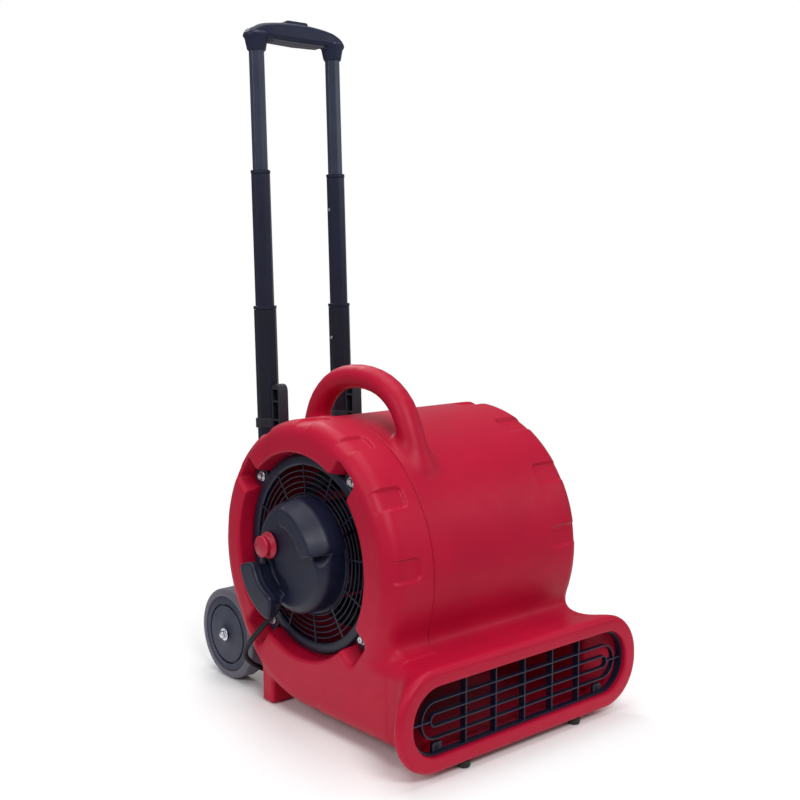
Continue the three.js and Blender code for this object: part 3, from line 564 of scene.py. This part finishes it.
def notches(x, y, z):
    """Depth of the shallow grip notches round both ends of the drum."""
    angle = np.degrees(np.arctan2(z - DRUM_Z, DRUM_Y - y))
    turn = (angle - NOTCH["first"]) / NOTCH["pitch"]
    nearest = np.clip(np.round(turn), 0, NOTCH["count"] - 1)
    arc = DRUM_R * np.radians((turn - nearest) * NOTCH["pitch"])
    inner = np.where(x < 0, *NOTCH["inner"])
    outer = NOTCH["outer"]
    edge = rectangle(np.abs(x) - (inner + outer) / 2, arc, (outer - inner) / 2, NOTCH["half_arc"], NOTCH["r"])
    fade = smooth_step((outer - np.abs(x)) / 26) * smooth_step((z - 165) / 25)
    return NOTCH["depth"] * smooth_step(-edge / 4.0) * fade


def seam(x, z):
    """The left of the drum stands a little higher, behind a fine groove, down to the top of the duct."""
    step = 2.2 * smooth_step((SEAM_X - x) / 2.4 + 0.5) - 2.6 * np.exp(-(((x - SEAM_X - 1.5) / 1.5) ** 2))
    return step * smooth_step((z - 140) / 16)


def drum_and_duct(x, y, z):
    fillet = 3 + 31 * smooth_step((z - 70) / 60)
    duct = rectangle(y + 139.5, z - 85, 96.5, 64, 6)
    profile = smooth_min(scroll(y, z) + notches(x, y, z), duct, fillet) - seam(x, z)
    return corner(profile, np.abs(x) - DRUM_HALF, 27)


def lip(x, y, z):
    """The duct's mouth, which flares and ends in a rolled edge."""
    flare = smooth_step(np.clip((-231 - y) / 60, 0, 1) ** 1.5)
    bottom, top = 21 - 10 * flare, 149 + 6 * flare
    section = rectangle(x, z - (bottom + top) / 2, 195 + 50 * flare, (top - bottom) / 2, 26 + 43 * flare)
    return corner(section, np.maximum(FRONT_Y - y, y + 153), 9)


def duct_inside(x, y, z):
    """The duct's hollow, wider and with rounder corners at the mouth."""
    mouth = smooth_step((-241 - y) / 39)
    bottom, top = 28 + 6 * mouth, 141 - 9 * mouth - 13 * smooth_step((y + 200) / 140)
    section = rectangle(x, z - (bottom + top) / 2, 180 + 39 * mouth, (top - bottom) / 2, 18 + 29 * mouth)
    return np.maximum(section, np.maximum(FRONT_Y - 10 - y, y + 63))


CARRY_LINE = catmull_rom(CARRY_PATH, 3)


def carry_handle(x, y, z):
    """An oval rod along the handle's line."""
    across = path_distance(y, z, CARRY_LINE)
    return (np.hypot((x - CARRY_X) / 20, across / 18) - 1) * 18.5


def screw_pockets(y, z, half, r):
    """Distance from the square pockets round the guard's screws, seen along the fan axis."""
    nearest = None
    for degrees in SCREW_ANGLES:
        a = math.radians(degrees)
        u = (y - FAN_Y) * math.cos(a) + (z - FAN_Z) * math.sin(a) - SCREW_CIRCLE - 1
        v = (z - FAN_Z) * math.cos(a) - (y - FAN_Y) * math.sin(a)
        square = rectangle(u, v, half, half, r)
        nearest = square if nearest is None else np.minimum(nearest, square)
    return nearest


def housing_field(x, y, z):
    """One shell: drum, duct, lip, carry handle, legs, the inlets' recesses and the grille's bosses."""
    ends = np.abs(x)
    from_fan = np.hypot(y - FAN_Y, z - FAN_Z)
    outer = np.minimum(drum_and_duct(x, y, z), lip(x, y, z))
    outer = smooth_min(outer, carry_handle(x, y, z), 20)
    leg = corner(rectangle(ends - 163, y - 86.5, 23, 14.5, 5), np.abs(z - 60) - 58, 3)
    outer = smooth_min(outer, leg, 7)
    flare = 0.3 * np.maximum(ends - INLET_FLOOR - 8, 0)
    cup = np.minimum(from_fan - (RECESS_R + 7), screw_pockets(y, z, 28, 6) - flare)
    drum_inside = corner(scroll(y, z) + notches(x, y, z) + 8, ends - 188, 19)
    hollow = np.minimum(drum_inside, duct_inside(x, y, z))
    hollow = smooth_max(hollow, -np.maximum(cup, INLET_FLOOR - RECESS_WALL - ends), 9)
    recess = smooth_min(from_fan - RECESS_R, screw_pockets(y, z, 18.5, 3) - flare, 4)
    shell = smooth_max(outer, -np.maximum(recess, INLET_FLOOR - ends), 6)
    shell = smooth_max(shell, -hollow, 3)
    shell = np.maximum(shell, -np.maximum(from_fan - FAN_HOLE_R, INLET_FLOOR - 26 - ends))
    boss = corner(rectangle(ends - 166, z - 37, 9, 12, 2), np.abs(y + 273) - 6.5, 1)
    return np.minimum(shell, boss)


def make_housing():
    fine = 0.8
    axes = (
        steps((-252, -196, 3.2 * fine), (-196, -125, 2.4 * fine), (-125, -112, 0.9), (-112, 121, 4.4 * fine),
              (121, 196, 2.4 * fine), (196, 252, 3.2 * fine)),
        steps((-304, -225, 2.8 * fine), (-225, 200, 3.0 * fine)),
        steps((-2, 460, 3.0 * fine), (460, 544, 3.4 * fine)),
    )
    shell = field_surface(housing_field, axes, 1.2)
    make_piece("housing_shell", shell, "housing_red", replaces=["housing"], sharp=50, clean=False)


# ---------------------------------------------------------------- inlet guards


def fan_place(side):
    """Turns (along y, along z, distance from the middle) into a point on one side of the machine."""
    return lambda u, v, depth: (side * depth, FAN_Y + u, FAN_Z + v)


def circle(r, sides=96):
    turn = np.linspace(0, 2 * math.pi, sides, endpoint=False)
    return [(r * math.cos(a), r * math.sin(a)) for a in turn]


def guard_ear(faces, side, degrees, seat):
    a = math.radians(degrees)
    place = fan_place(side)
    outline = []
    for u, v in rounded_rectangle(-24, 15, -15, 15, 5, 6):
        r = SCREW_CIRCLE + u
        outline.append((r * math.cos(a) - v * math.sin(a), r * math.sin(a) + v * math.cos(a)))
    prism(faces, outline, place, seat, seat + 5)


def make_guard(name, side, plate, rings, nodes):
    """A flat rim with four ears, thin wire rings and twelve spokes."""
    seat = abs(low("inlet_guard_far_side")[0])
    front = seat + 8
    faces = Faces()
    rim = [(134, seat), (134, front - 2), (135.5, front - 0.5), (137.5, front), (147, front),
           (149.5, front - 1), (151, front - 3.5), (151, seat)]
    lathe(faces, rim, (0, FAN_Y, FAN_Z), (side, 0, 0), 128)
    r0, r1 = plate
    disc = [(r0, front - 6), (r0, front - 0.6), (r1 - 1, front), (r1, front - 1), (r1, front - 6)]
    lathe(faces, disc, (0, FAN_Y, FAN_Z), (side, 0, 0), 96)
    for r in rings:
        ring = [(side * (front - 2.4), FAN_Y + u, FAN_Z + v) for u, v in circle(r, 112)]
        tube(faces, ring, 1.25, 8)
    for k in range(12):
        a = math.radians(-6 + 30 * k)
        ends = [(side * (front - 1.4), FAN_Y + r * math.cos(a), FAN_Z + r * math.sin(a))
                for r in (r1 - 3, 136)]
        tube(faces, ends, 1.5, 8, closed=False)
    for degrees in SCREW_ANGLES:
        guard_ear(faces, side, degrees, seat)
    make_piece(name, faces, "moulded_black", replaces=nodes, sharp=40)


def make_guards():
    make_guard("inlet_guard_left", -1, (70, 90), (92, 100.5, 109, 117.5, 126), ["inlet_guard_motor_side"])
    rings = [40 + 8.6 * k for k in range(1, 11)]
    make_guard("inlet_guard_right", 1, (0, 40), rings, ["inlet_guard_far_side"])


# ---------------------------------------------------------------- motor cover and knob

UPPER_HORN = {"turn": 129, "spread": 38, "r": 72, "half": 20.5, "front": 240, "ridge": 77}
LOWER_HORN = {"turn": -46, "spread": 33, "r": 78.5, "half": 18.5, "front": 248}
NECK = {"turn": -46, "spread": 29, "r": 70, "half": 9.5}
CHANNEL = {"turn": -46, "spread": 40, "r": 50, "half": 13.5}
COVER_R, COVER_FACE, COVER_SEAT = 85, 223, 184.6
COVER_FRONT = 243  # where the front of the CAD's cover lies in the cover's own depths


def turn_off(turn, middle_turn):
    """Degrees from an angle, between -180 and 180."""
    return (turn - middle_turn + 180) % 360 - 180


def crescent(from_fan, turn, horn, r=10):
    """Distance, seen along the fan axis, from a band that bends round it."""
    along = horn["r"] * np.radians(turn_off(turn, horn["turn"]))
    return rectangle(from_fan - horn["r"], along, horn["half"], horn["r"] * math.radians(horn["spread"]), r)


def cover_field(x, y, z):
    """A domed motor cover with two crescents on its face; the lower one overhangs, to wrap the cord on."""
    out = COVER_FRONT - HORN_FRONT - x
    from_fan = np.hypot(y - FAN_Y, z - FAN_Z)
    turn = np.degrees(np.arctan2(z - FAN_Z, y - FAN_Y))
    dome = corner(from_fan - COVER_R, out - COVER_FACE, 17)
    slope = (out - UPPER_HORN["front"] + 1.7 * (from_fan - UPPER_HORN["ridge"])) / 1.97
    upper = crescent(from_fan, turn, UPPER_HORN)
    upper = corner(upper, smooth_max(out - UPPER_HORN["front"], slope, 1.5), 2)
    cover = smooth_min(dome, upper, 6)
    floor = 214 + 4.5 * smooth_step((25 - y) / 7)  # higher over the capacitor
    channel = corner(crescent(from_fan, turn, CHANNEL), floor - out, 3)
    cover = smooth_max(cover, -channel, 2)
    past_tip = turn_off(turn, UPPER_HORN["turn"] + UPPER_HORN["spread"])
    wedge = rectangle(past_tip - 9, from_fan - 80, 10, 18, 3)
    wedge_floor = 209.5 + 0.45 * (80 - from_fan) + 0.75 * past_tip
    cover = smooth_max(cover, -corner(wedge, wedge_floor - out, 2), 2.5)
    plate = crescent(from_fan, turn, LOWER_HORN, 9)
    plate = corner(corner(plate, out - LOWER_HORN["front"], 4), 233 - out, 3)
    neck = corner(crescent(from_fan, turn, NECK, 7), out - 238, 2)
    cover = smooth_min(cover, np.maximum(neck, 200 - out), 3)
    cover = smooth_min(cover, plate, 3)
    cover = np.maximum(cover, COVER_SEAT - out)
    inside = corner(from_fan - 81, out - 211, 15)
    return np.maximum(cover, -np.maximum(inside, COVER_SEAT - 10 - out))


def make_cover():
    spacing = 1.1
    axes = (
        steps((-HORN_FRONT - 8, -HORN_FRONT + 62, spacing)),
        steps((FAN_Y - 102, FAN_Y + 104, spacing)),
        steps((FAN_Z - 104, FAN_Z + 99, spacing)),
    )
    shell = field_surface(cover_field, axes, 0.5)
    make_piece("motor_cover_shell", shell, "moulded_black", replaces=["motor_cover"], sharp=50, clean=False)


def make_knob():
    """A push-on knob: a dished flange, a waist and a flat disc to turn it by."""
    face = abs(low("speed_knob")[0])
    seat = face - 17
    profile = [(0, seat - 10), (4.6, seat - 10), (4.6, seat), (19.6, seat), (20.5, seat + 1),
               (20.5, seat + 2.6), (19.4, seat + 3.8), (17.5, seat + 4.4), (15.2, seat + 6),
               (14.6, seat + 8.5), (15, seat + 10.5), (16.3, seat + 12), (16.5, seat + 14.6),
               (15.9, seat + 16.2), (14.6, face), (0, face)]
    _, y, z = middle("speed_knob")
    faces = Faces()
    lathe(faces, profile, (0, y, z), (-1, 0, 0), 72)

    def place(u, v, depth):
        return (-depth, y + u, z + v)

    prism(faces, rounded_rectangle(11.5, 15.5, -1.2, 1.2, 0.8, 4), place, face - 0.6, face + 0.7)
    make_piece("knob", faces, "knob_red", "knob", ["speed_knob"], sharp=50)


# ---------------------------------------------------------------- outlet grille


def outlet_place(u, v, depth):
    return (u, depth, v)


def grille_loop(faces, half, bottom, top, thick, near, far):
    r = min((top - bottom) / 2 - 0.5, 47)
    outer = rounded_rectangle(-half, half, bottom, top, r, 14)
    inner = rounded_rectangle(thick - half, half - thick, bottom + thick, top - thick, r - thick, 14)
    band(faces, outer, inner, outlet_place, near, far)


def make_outlet_grille():
    _, near, bottom = low("outlet_grille")
    half, _, top = high("outlet_grille")
    centre = (bottom + top) / 2
    faces = Faces()
    grille_loop(faces, half, bottom, top, 2.8, near, near + 10)
    grille_loop(faces, half - 19.7, centre - 26.7, centre + 26.7, 2.0, near + 0.2, near + 8)
    grille_loop(faces, half - 36, centre - 9.7, centre + 9.7, 2.0, near + 0.2, near + 8)
    bar = 1.05
    for k in range(-2, 3):
        x = 58.4 * k
        upright = rounded_rectangle(x - bar, x + bar, bottom + 1, top - 1, 0.3, 1)
        prism(faces, upright, outlet_place, near + 0.3, near + 11)
    for side in (-1, 1):
        link = sorted((side * (half - 37.5), side * (half - 1)))
        clip = sorted((side * 83, side * 93))
        tab = sorted((side * 157, side * 175))
        for across, foot, head, r, per_corner, start, end in (
            (link, centre - bar, centre + bar, 0.3, 1, 0.4, 7),
            (clip, bottom - 3.5, bottom + 3, 1, 2, 1, 9),
            (tab, bottom + 1.5, bottom + 15, 3, 4, 5, 10),
        ):
            outline = rounded_rectangle(*across, foot, head, r, per_corner)
            prism(faces, outline, outlet_place, near + start, near + end)
    make_piece("outlet_grille_bars", faces, "moulded_black", replaces=["outlet_grille"], bevel=0.55, sharp=35)


# ---------------------------------------------------------------- screws, bolts and wheels


def hexagon(faces, origin, direction, r, bottom, top, recess=0.0):
    """A hexagon head with a chamfered top, and a round dimple in it."""
    axis, u, v = frame_of(direction)
    origin = np.array(origin, float)
    levels = [(0, bottom), (r, bottom), (r, top - 0.9), (r * 0.88, top)]
    levels += [(r * 0.5, top), (r * 0.42, top - recess), (0, top - recess)]
    rings = []
    for radius, height in levels:
        rings += [origin + axis * height + radius * (math.cos(a) * u + math.sin(a) * v)
                  for a in np.linspace(0, 2 * math.pi, 6, endpoint=False)]
    faces.add(rings, grid_faces(len(levels), 6, wrap_rows=True))


def make_screw(node, direction, washer, head, thick, tall, dome=0.0, slot="zinc"):
    """A hexagon screw on its washer, where the CAD's own is."""
    direction = np.array(direction, float)
    axis = int(np.argmax(np.abs(direction)))
    origin = middle(node)
    tip = high(node)[axis] if direction[axis] > 0 else low(node)[axis]
    origin[axis] = tip - direction[axis] * (thick + tall)
    faces = Faces()
    ring = [(0, 0), (washer, 0), (washer, thick - 0.5), (washer - 0.6, thick), (0, thick)]
    lathe(faces, ring, origin, direction, 40)
    hexagon(faces, origin, direction, head, thick - 0.2, thick + tall - dome, 0.0 if dome else 1.2)
    if dome:
        arc = [(head * 0.8 * math.cos(t), thick + tall - dome - 0.3 + (dome + 0.3) * math.sin(t))
               for t in np.linspace(0, math.pi / 2, 8)]
        lathe(faces, [(0, thick), *arc], origin, direction, 32)
    lathe(faces, [(0, -15), (2.6, -15), (2.6, 0.2), (0, 0.2)], origin, direction, 12)
    make_piece(node + "_head", faces, slot, replaces=[node], bevel=0.25, sharp=30)


def make_screws():
    for where, side in (("motor_side", -1), ("far_side", 1)):
        for k in range(1, 5):
            make_screw(f"guard_screw_{where}_{k}", (side, 0, 0), 8.2, 5.6, 1.7, 4.8)
    for where, side in SIDES:
        make_screw(f"axle_bolt_{where}", (side, 0, 0), 10.5, 6.8, 2.0, 7.0, dome=2.5)
        make_screw(f"grille_screw_{where}", (0, -1, 0), 3.6, 2.6, 0.6, 1.5, slot="bracket_black")


def make_wheel(where, side):
    """A grey tyre on a black hub whose face has one round groove."""
    inner, outer = sorted(abs(v) for v in (low(f"tyre_{where}")[0], high(f"tyre_{where}")[0]))
    r = WHEEL_Z
    origin, direction = (0, WHEEL_Y, WHEEL_Z), (side, 0, 0)
    shoulder = [(r - 4.5 * (1 - math.cos(t)), outer - 4.5 + 4.5 * math.sin(t) - 1.5)
                for t in np.linspace(0, 1.45, 7)]
    back = [(a, inner + outer - b) for a, b in reversed(shoulder)]
    tread = [(r - 0.35 * (k % 2), inner + 7 + 3 * k) for k in range(8)]
    tyre = [(62.3, inner + 1), (66, inner), *back, *tread, *shoulder, (66, outer), (63.6, outer - 0.2),
            (62.3, outer - 1.4)]
    body = f"wheel_{where}"
    make_piece(f"tyre_{where}_rubber", lathe(Faces(), tyre, origin, direction, 120), "tyre_grey", body,
               [f"tyre_{where}"], sharp=28)
    face = outer - 2.2
    hub = [(6.5, inner - 6), (16, inner - 6), (16, inner + 4), (30, inner + 9), (56, inner + 9),
           (61, inner + 3), (62, inner + 3), (62, face - 0.8), (61.2, face), (51, face + 0.8),
           (50.2, face + 0.2), (49.9, face - 3), (47.6, face - 3), (47.3, face + 0.2), (46.5, face + 0.8),
           (30, face + 1.1), (16, face + 1.2), (14.6, face + 1.8), (13.8, face + 3), (12, face + 3.2),
           (6.5, face + 3.2)]
    make_piece(f"wheel_hub_{where}_moulding", lathe(Faces(), hub, origin, direction, 96), "hub_black", body,
               [f"wheel_hub_{where}"], sharp=28)


def make_feet():
    """Rubber feet, narrower at the floor."""
    for where, _ in SIDES:
        node = f"front_foot_{where}"
        x, y, _ = middle(node)
        r, top = (high(node)[0] - low(node)[0]) / 2, high(node)[2]
        profile = [(0, 0), (r - 2.2, 0), (r - 1.2, 0.4), (r - 0.6, 1.4), (r, 4), (r, top), (0, top)]
        make_piece(f"{node}_rubber", lathe(Faces(), profile, (x, y, 0), (0, 0, 1), 48), "foot_rubber",
                   replaces=[node], sharp=40)


# ---------------------------------------------------------------- handle

GRIP = {"top": 1006, "bottom": 977, "half_y": 17, "collar": 955.5}


def from_pole(x, y, h):
    """From the leaning poles' own axes, with h the height from the axle, to the machine's."""
    return (x, POLE_Y + y * math.cos(POLE_LEAN) + h * math.sin(POLE_LEAN),
            POLE_Z - y * math.sin(POLE_LEAN) + h * math.cos(POLE_LEAN))


def octagon_distance(u, v, half):
    """Distance from a square with its corners cut off."""
    u, v = np.abs(u), np.abs(v)
    return np.maximum(np.maximum(u, v) - half, (u + v) * 0.7071 - 0.9475 * half)


def grip_field(x, y, h):
    """A bowed bar between two faceted collars that taper onto the tubes."""
    far = np.abs(x)
    top = GRIP["top"] - 8.5 * (x / 82) ** 2
    thick = GRIP["half_y"] - 2.5 * smooth_step((far - 50) / 50)
    end = smooth_max((far - 97.5 + 0.4 * (h - 980)) / 1.077, (h - 989 + 0.6 * (far - 94)) / 1.166, 3)
    bar = smooth_max(h - top, end, 4)
    bar = corner(bar, GRIP["bottom"] - 1.5 * (1 - (x / 100) ** 2) - h, 3)
    bar = corner(bar, np.abs(y) - thick, 8)
    half = 14.75 + 5 * np.clip((h - GRIP["collar"]) / 25, 0, 1)
    collar = octagon_distance(far - POLE_X, y, half)
    collar = corner(collar, np.abs(h - 969.5) - 14, 2.0)
    collar = np.maximum(collar, end)
    grip = smooth_min(bar, collar, 4)
    well = corner(rectangle(x, y, 22.4, 9.4, 1.5), 986 - h, 1)
    return np.maximum(grip, -well)


def make_grip():
    spacing = 1.0
    axes = (
        steps((-108, 108, spacing)),
        steps((-24, 24, spacing)),
        steps((952, 1010, spacing)),
    )
    surface = field_surface(grip_field, axes, 0.5)
    surface.vertices = [from_pole(*v) for v in surface.vertices]
    make_piece("grip_moulding", surface, "grip_black", "inner_stage", ["grip"], sharp=42, clean=False)


def make_strain_relief():
    """A ribbed, tapered sleeve that leaves the cover square to its side."""
    a = math.radians(-56)
    direction = (0, math.cos(a), math.sin(a))
    origin = (CORD_EXIT[0] / MM, FAN_Y + 84 * math.cos(a), FAN_Z + 84 * math.sin(a))
    profile = [(0, -6), (8.3, -6), (8.3, -4.6), (6, -4.4), (6, 2), (8.4, 2), (8.6, 5.5), (8, 7)]
    for k in range(6):
        h = 8 + 3.6 * k
        r = 7.6 - 0.32 * k
        profile += [(r, h), (r, h + 2.0), (r - 1.1, h + 2.3), (r - 1.1, h + 3.3)]
    profile += [(5.4, 30), (0, 30)]
    return make_piece("strain_relief_sleeve", lathe(Faces(), profile, origin, direction, 32), "cord_black",
                      replaces=["strain_relief"], sharp=40)


# ---------------------------------------------------------------- cord, in metres

CORD_D = 0.0085
CORD_EXIT = (-0.186, 0.0565, 0.1593)
LEAD = [
    CORD_EXIT, (-0.1882, 0.063, 0.1497), (-0.1935, 0.0703, 0.1389), (-0.198, 0.076, 0.1307),
    (-0.2015, 0.0812, 0.1237), (-0.2045, 0.0885, 0.1143), (-0.2066, 0.0965, 0.1048), (-0.207, 0.105, 0.0955),
    (-0.2065, 0.115, 0.0825), (-0.203, 0.120, 0.070), (-0.190, 0.121, 0.055), (-0.168, 0.122, 0.041),
    (-0.145, 0.123, 0.026), (-0.123, 0.126, 0.012), (-0.106, 0.135, 0.0054), (-0.092, 0.150, 0.0045),
    (-0.083, 0.169, 0.0045),
]
TAIL = [(0.1008, 0.189, 0.0045), (0.1025, 0.173, 0.0045), (0.108, 0.155, 0.0055), (0.1138, 0.140, 0.0096),
        (0.115, 0.1265, 0.0112)]
COIL = {"x": 0.010, "y": 0.185, "radii": (0.0815, 0.0729, 0.0643, 0.0557), "outside": 0.0096,
        "floor": 0.0045, "pitch": 0.0086, "layers": 4, "per_turn": 36}


def coil_points():
    """Turns in layers, clockwise from the left, alternately inwards and outwards, then half a turn more."""
    radii = COIL["radii"]
    turns = []
    for layer in range(COIL["layers"]):
        order = radii if layer % 2 == 0 else radii[::-1]
        turns += [(r, COIL["floor"] + layer * COIL["pitch"]) for r in order]
    turns.append((radii[0] + COIL["outside"], COIL["floor"]))
    points = []
    per_turn = COIL["per_turn"]
    for (r0, z0), (r1, z1) in zip(turns[:-1], turns[1:]):
        leaving = r1 > radii[0]
        for i in range(per_turn):
            share = i / per_turn
            blend = float(smooth_step((share - 0.82) / 0.18))
            if leaving and share > 0.5:
                break
            a = math.pi - 2 * math.pi * share
            r, z = r0 + (r1 - r0) * blend, z0 + (z1 - z0) * blend
            points.append((COIL["x"] + r * math.cos(a), COIL["y"] + r * math.sin(a), z))
    return points


def coil_exit():
    """From the top outer turn, down beside the coil to the floor at its right."""
    r0, r1 = COIL["radii"][0], COIL["radii"][0] + 0.0093
    top = COIL["floor"] + (COIL["layers"] - 1) * COIL["pitch"]
    points = []
    for i in range(1, 16):
        share = i / 16
        a = -2 * math.pi * share
        r = r0 + (r1 - r0) * float(smooth_step(share / 0.25))
        z = top + (COIL["floor"] - top) * float(smooth_step((share - 0.15) / 0.6))
        points.append((COIL["x"] + r * math.cos(a), COIL["y"] + r * math.sin(a), z))
    return points


def make_cord_tie():
    """A strap round the whole bundle at the back of the coil."""
    lay, radius = COIL, CORD_D / 2
    inner = (min(lay["radii"]) - radius) / MM - 0.6
    outer = (max(lay["radii"]) + lay["outside"] + radius) / MM + 0.6
    top = (lay["floor"] + (lay["layers"] - 1) * lay["pitch"] + radius) / MM + 0.6
    a = math.radians(68)

    def place(u, v, depth):
        return (lay["x"] / MM + u * math.cos(a) - depth * math.sin(a),
                lay["y"] / MM + u * math.sin(a) + depth * math.cos(a), v)

    faces = Faces()
    strap = rounded_rectangle(inner - 1.1, outer + 1.1, 0.02, top + 1.1, 5.1, 6)
    hole = rounded_rectangle(inner, outer, 0.5, top, 4, 6)
    band(faces, strap, hole, place, -6, 6)
    buckle = rounded_rectangle((inner + outer) / 2 - 9, (inner + outer) / 2 + 9, top + 0.8, top + 4, 1, 3)
    prism(faces, buckle, place, -8, 8)
    return make_piece("cord_tie", faces, "foot_rubber", bevel=0.3, sharp=35)


def make_cord():
    route = np.vstack([
        catmull_rom(LEAD, 6),
        catmull_rom([LEAD[-1], *coil_points(), *coil_exit(), *TAIL], 2)[2:],
    ])
    data = bpy.data.curves.new("mains_cord", "CURVE")
    data.dimensions = "3D"
    data.bevel_depth = CORD_D / 2
    data.bevel_resolution = 3
    data.use_fill_caps = True
    spline = data.splines.new("POLY")
    spline.points.add(len(route) - 1)
    spline.points.foreach_set("co", np.hstack([route, np.ones((len(route), 1))]).ravel())
    cord = bpy.data.objects.new("mains_cord", data)
    bpy.context.scene.collection.objects.link(cord)
    data.materials.append(MATERIALS["cord_black"])
    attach(cord, "root")
    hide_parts("cord_lead", "cord_coil", "cord_tail")
    return cord


def make_plug():
    """A moulded three-pin plug that lies on the floor, blades forward."""
    x, z = 115, 12
    sections = [  # y, half the width, half the height, height of the middle
        (125, 5.4, 5.4, 11.2), (121, 5.8, 5.8, 11.2), (116, 6.4, 6.6, 11.4), (110, 8.6, 8.6, 12),
        (104, 11.2, 10.4, 12.2), (97, 12.3, 11.6, 12.2), (84, 12.5, 11.8, 12.2), (81, 12.0, 11.4, 12.2),
    ]
    faces = Faces()
    rings = []
    count = 36
    for y, half_x, half_z, mid in sections:
        for a in np.linspace(0, 2 * math.pi, count, endpoint=False):
            c, s = math.cos(a), math.sin(a)
            rings.append((x + half_x * math.copysign(abs(c) ** 0.75, c), y,
                          mid + half_z * math.copysign(abs(s) ** 0.75, s)))
    ends = [tuple(range(count)), tuple(range(count * (len(sections) - 1), count * len(sections)))]
    faces.add(rings, grid_faces(len(sections), count) + ends)
    body = make_piece("plug_body", faces, "cord_black", replaces=["plug"], bevel=0.6, sharp=40)
    pins = Faces()
    for d in (-6, 6):
        prism(pins, rounded_rectangle(x + d - 0.8, x + d + 0.8, z + 1, z + 7, 0.4, 2), outlet_place, 63.5, 82)
    lathe(pins, [(0, 0), (2.4, 0), (2.4, 19), (1.6, 21.5), (0, 22)], (x, 82, z - 5), (0, -1, 0), 24)
    return body, make_piece("plug_pins", pins, "brass")


# ---------------------------------------------------------------- CAD nodes that stay

KEPT = {
    "motor_can": ("motor_paint", 1.0),
    "motor_mount_ring": ("zinc", 0.4),
    "motor_shaft": ("bright_steel", 0.3),
    "blower_wheel": ("blower_black", 0.3),
    "blower_wheel_nut": ("zinc", 0.6),
    "speed_switch": ("switch_black", 0.8),
    "run_capacitor": ("capacitor_case", 1.0),
    "axle": ("bright_steel", 0.4),
    "grip_pad": ("grip_rubber", 1.8),
    "release_button": ("grip_black", 1.6),
}
KEPT_PAIRS = {
    "frame_foot": ("bracket_black", 2.0),
    "outer_tube": ("tube_outer_paint", 1.2),
    "outer_tube_cap": ("moulded_black", 1.0),
    "outer_lock_pin": ("zinc", 0.1),
    "middle_tube": ("tube_middle_paint", 1.1),
    "middle_tube_cap": ("moulded_black", 1.0),
    "middle_lock_pin": ("zinc", 0.1),
    "inner_tube": ("tube_inner_paint", 1.0),
    "pole_bracket": ("bracket_black", 1.0),
    "pole_clamp": ("bracket_black", 1.0),
}


def dress(node, slot, bevel):
    """A CAD piece whose shape is right gets its finish and softened edges."""
    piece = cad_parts[node]
    attributes = piece.data.attributes
    if "custom_normal" in attributes:
        attributes.remove(attributes["custom_normal"])
    piece.data.materials.clear()
    piece.data.materials.append(MATERIALS[slot])
    weld = piece.modifiers.new("weld", "WELD")
    weld.merge_threshold = 0.00001
    piece.data.shade_smooth()
    add_bevel(piece, bevel)


def dress_cad():
    for node, (slot, bevel) in KEPT.items():
        dress(node, slot, bevel)
    for kind, (slot, bevel) in KEPT_PAIRS.items():
        for where, _ in SIDES:
            dress(f"{kind}_{where}", slot, bevel)


# ---------------------------------------------------------------- assembly

MATERIALS = make_materials()
make_camera()
mains_cord = make_cord()
plug_pieces = make_plug()
relief = make_strain_relief()
tie = make_cord_tie()
make_studio()
make_housing()
make_guards()
make_cover()
make_knob()
make_outlet_grille()
make_screws()
for where, side in SIDES:
    make_wheel(where, side)
make_feet()
make_grip()
dress_cad()
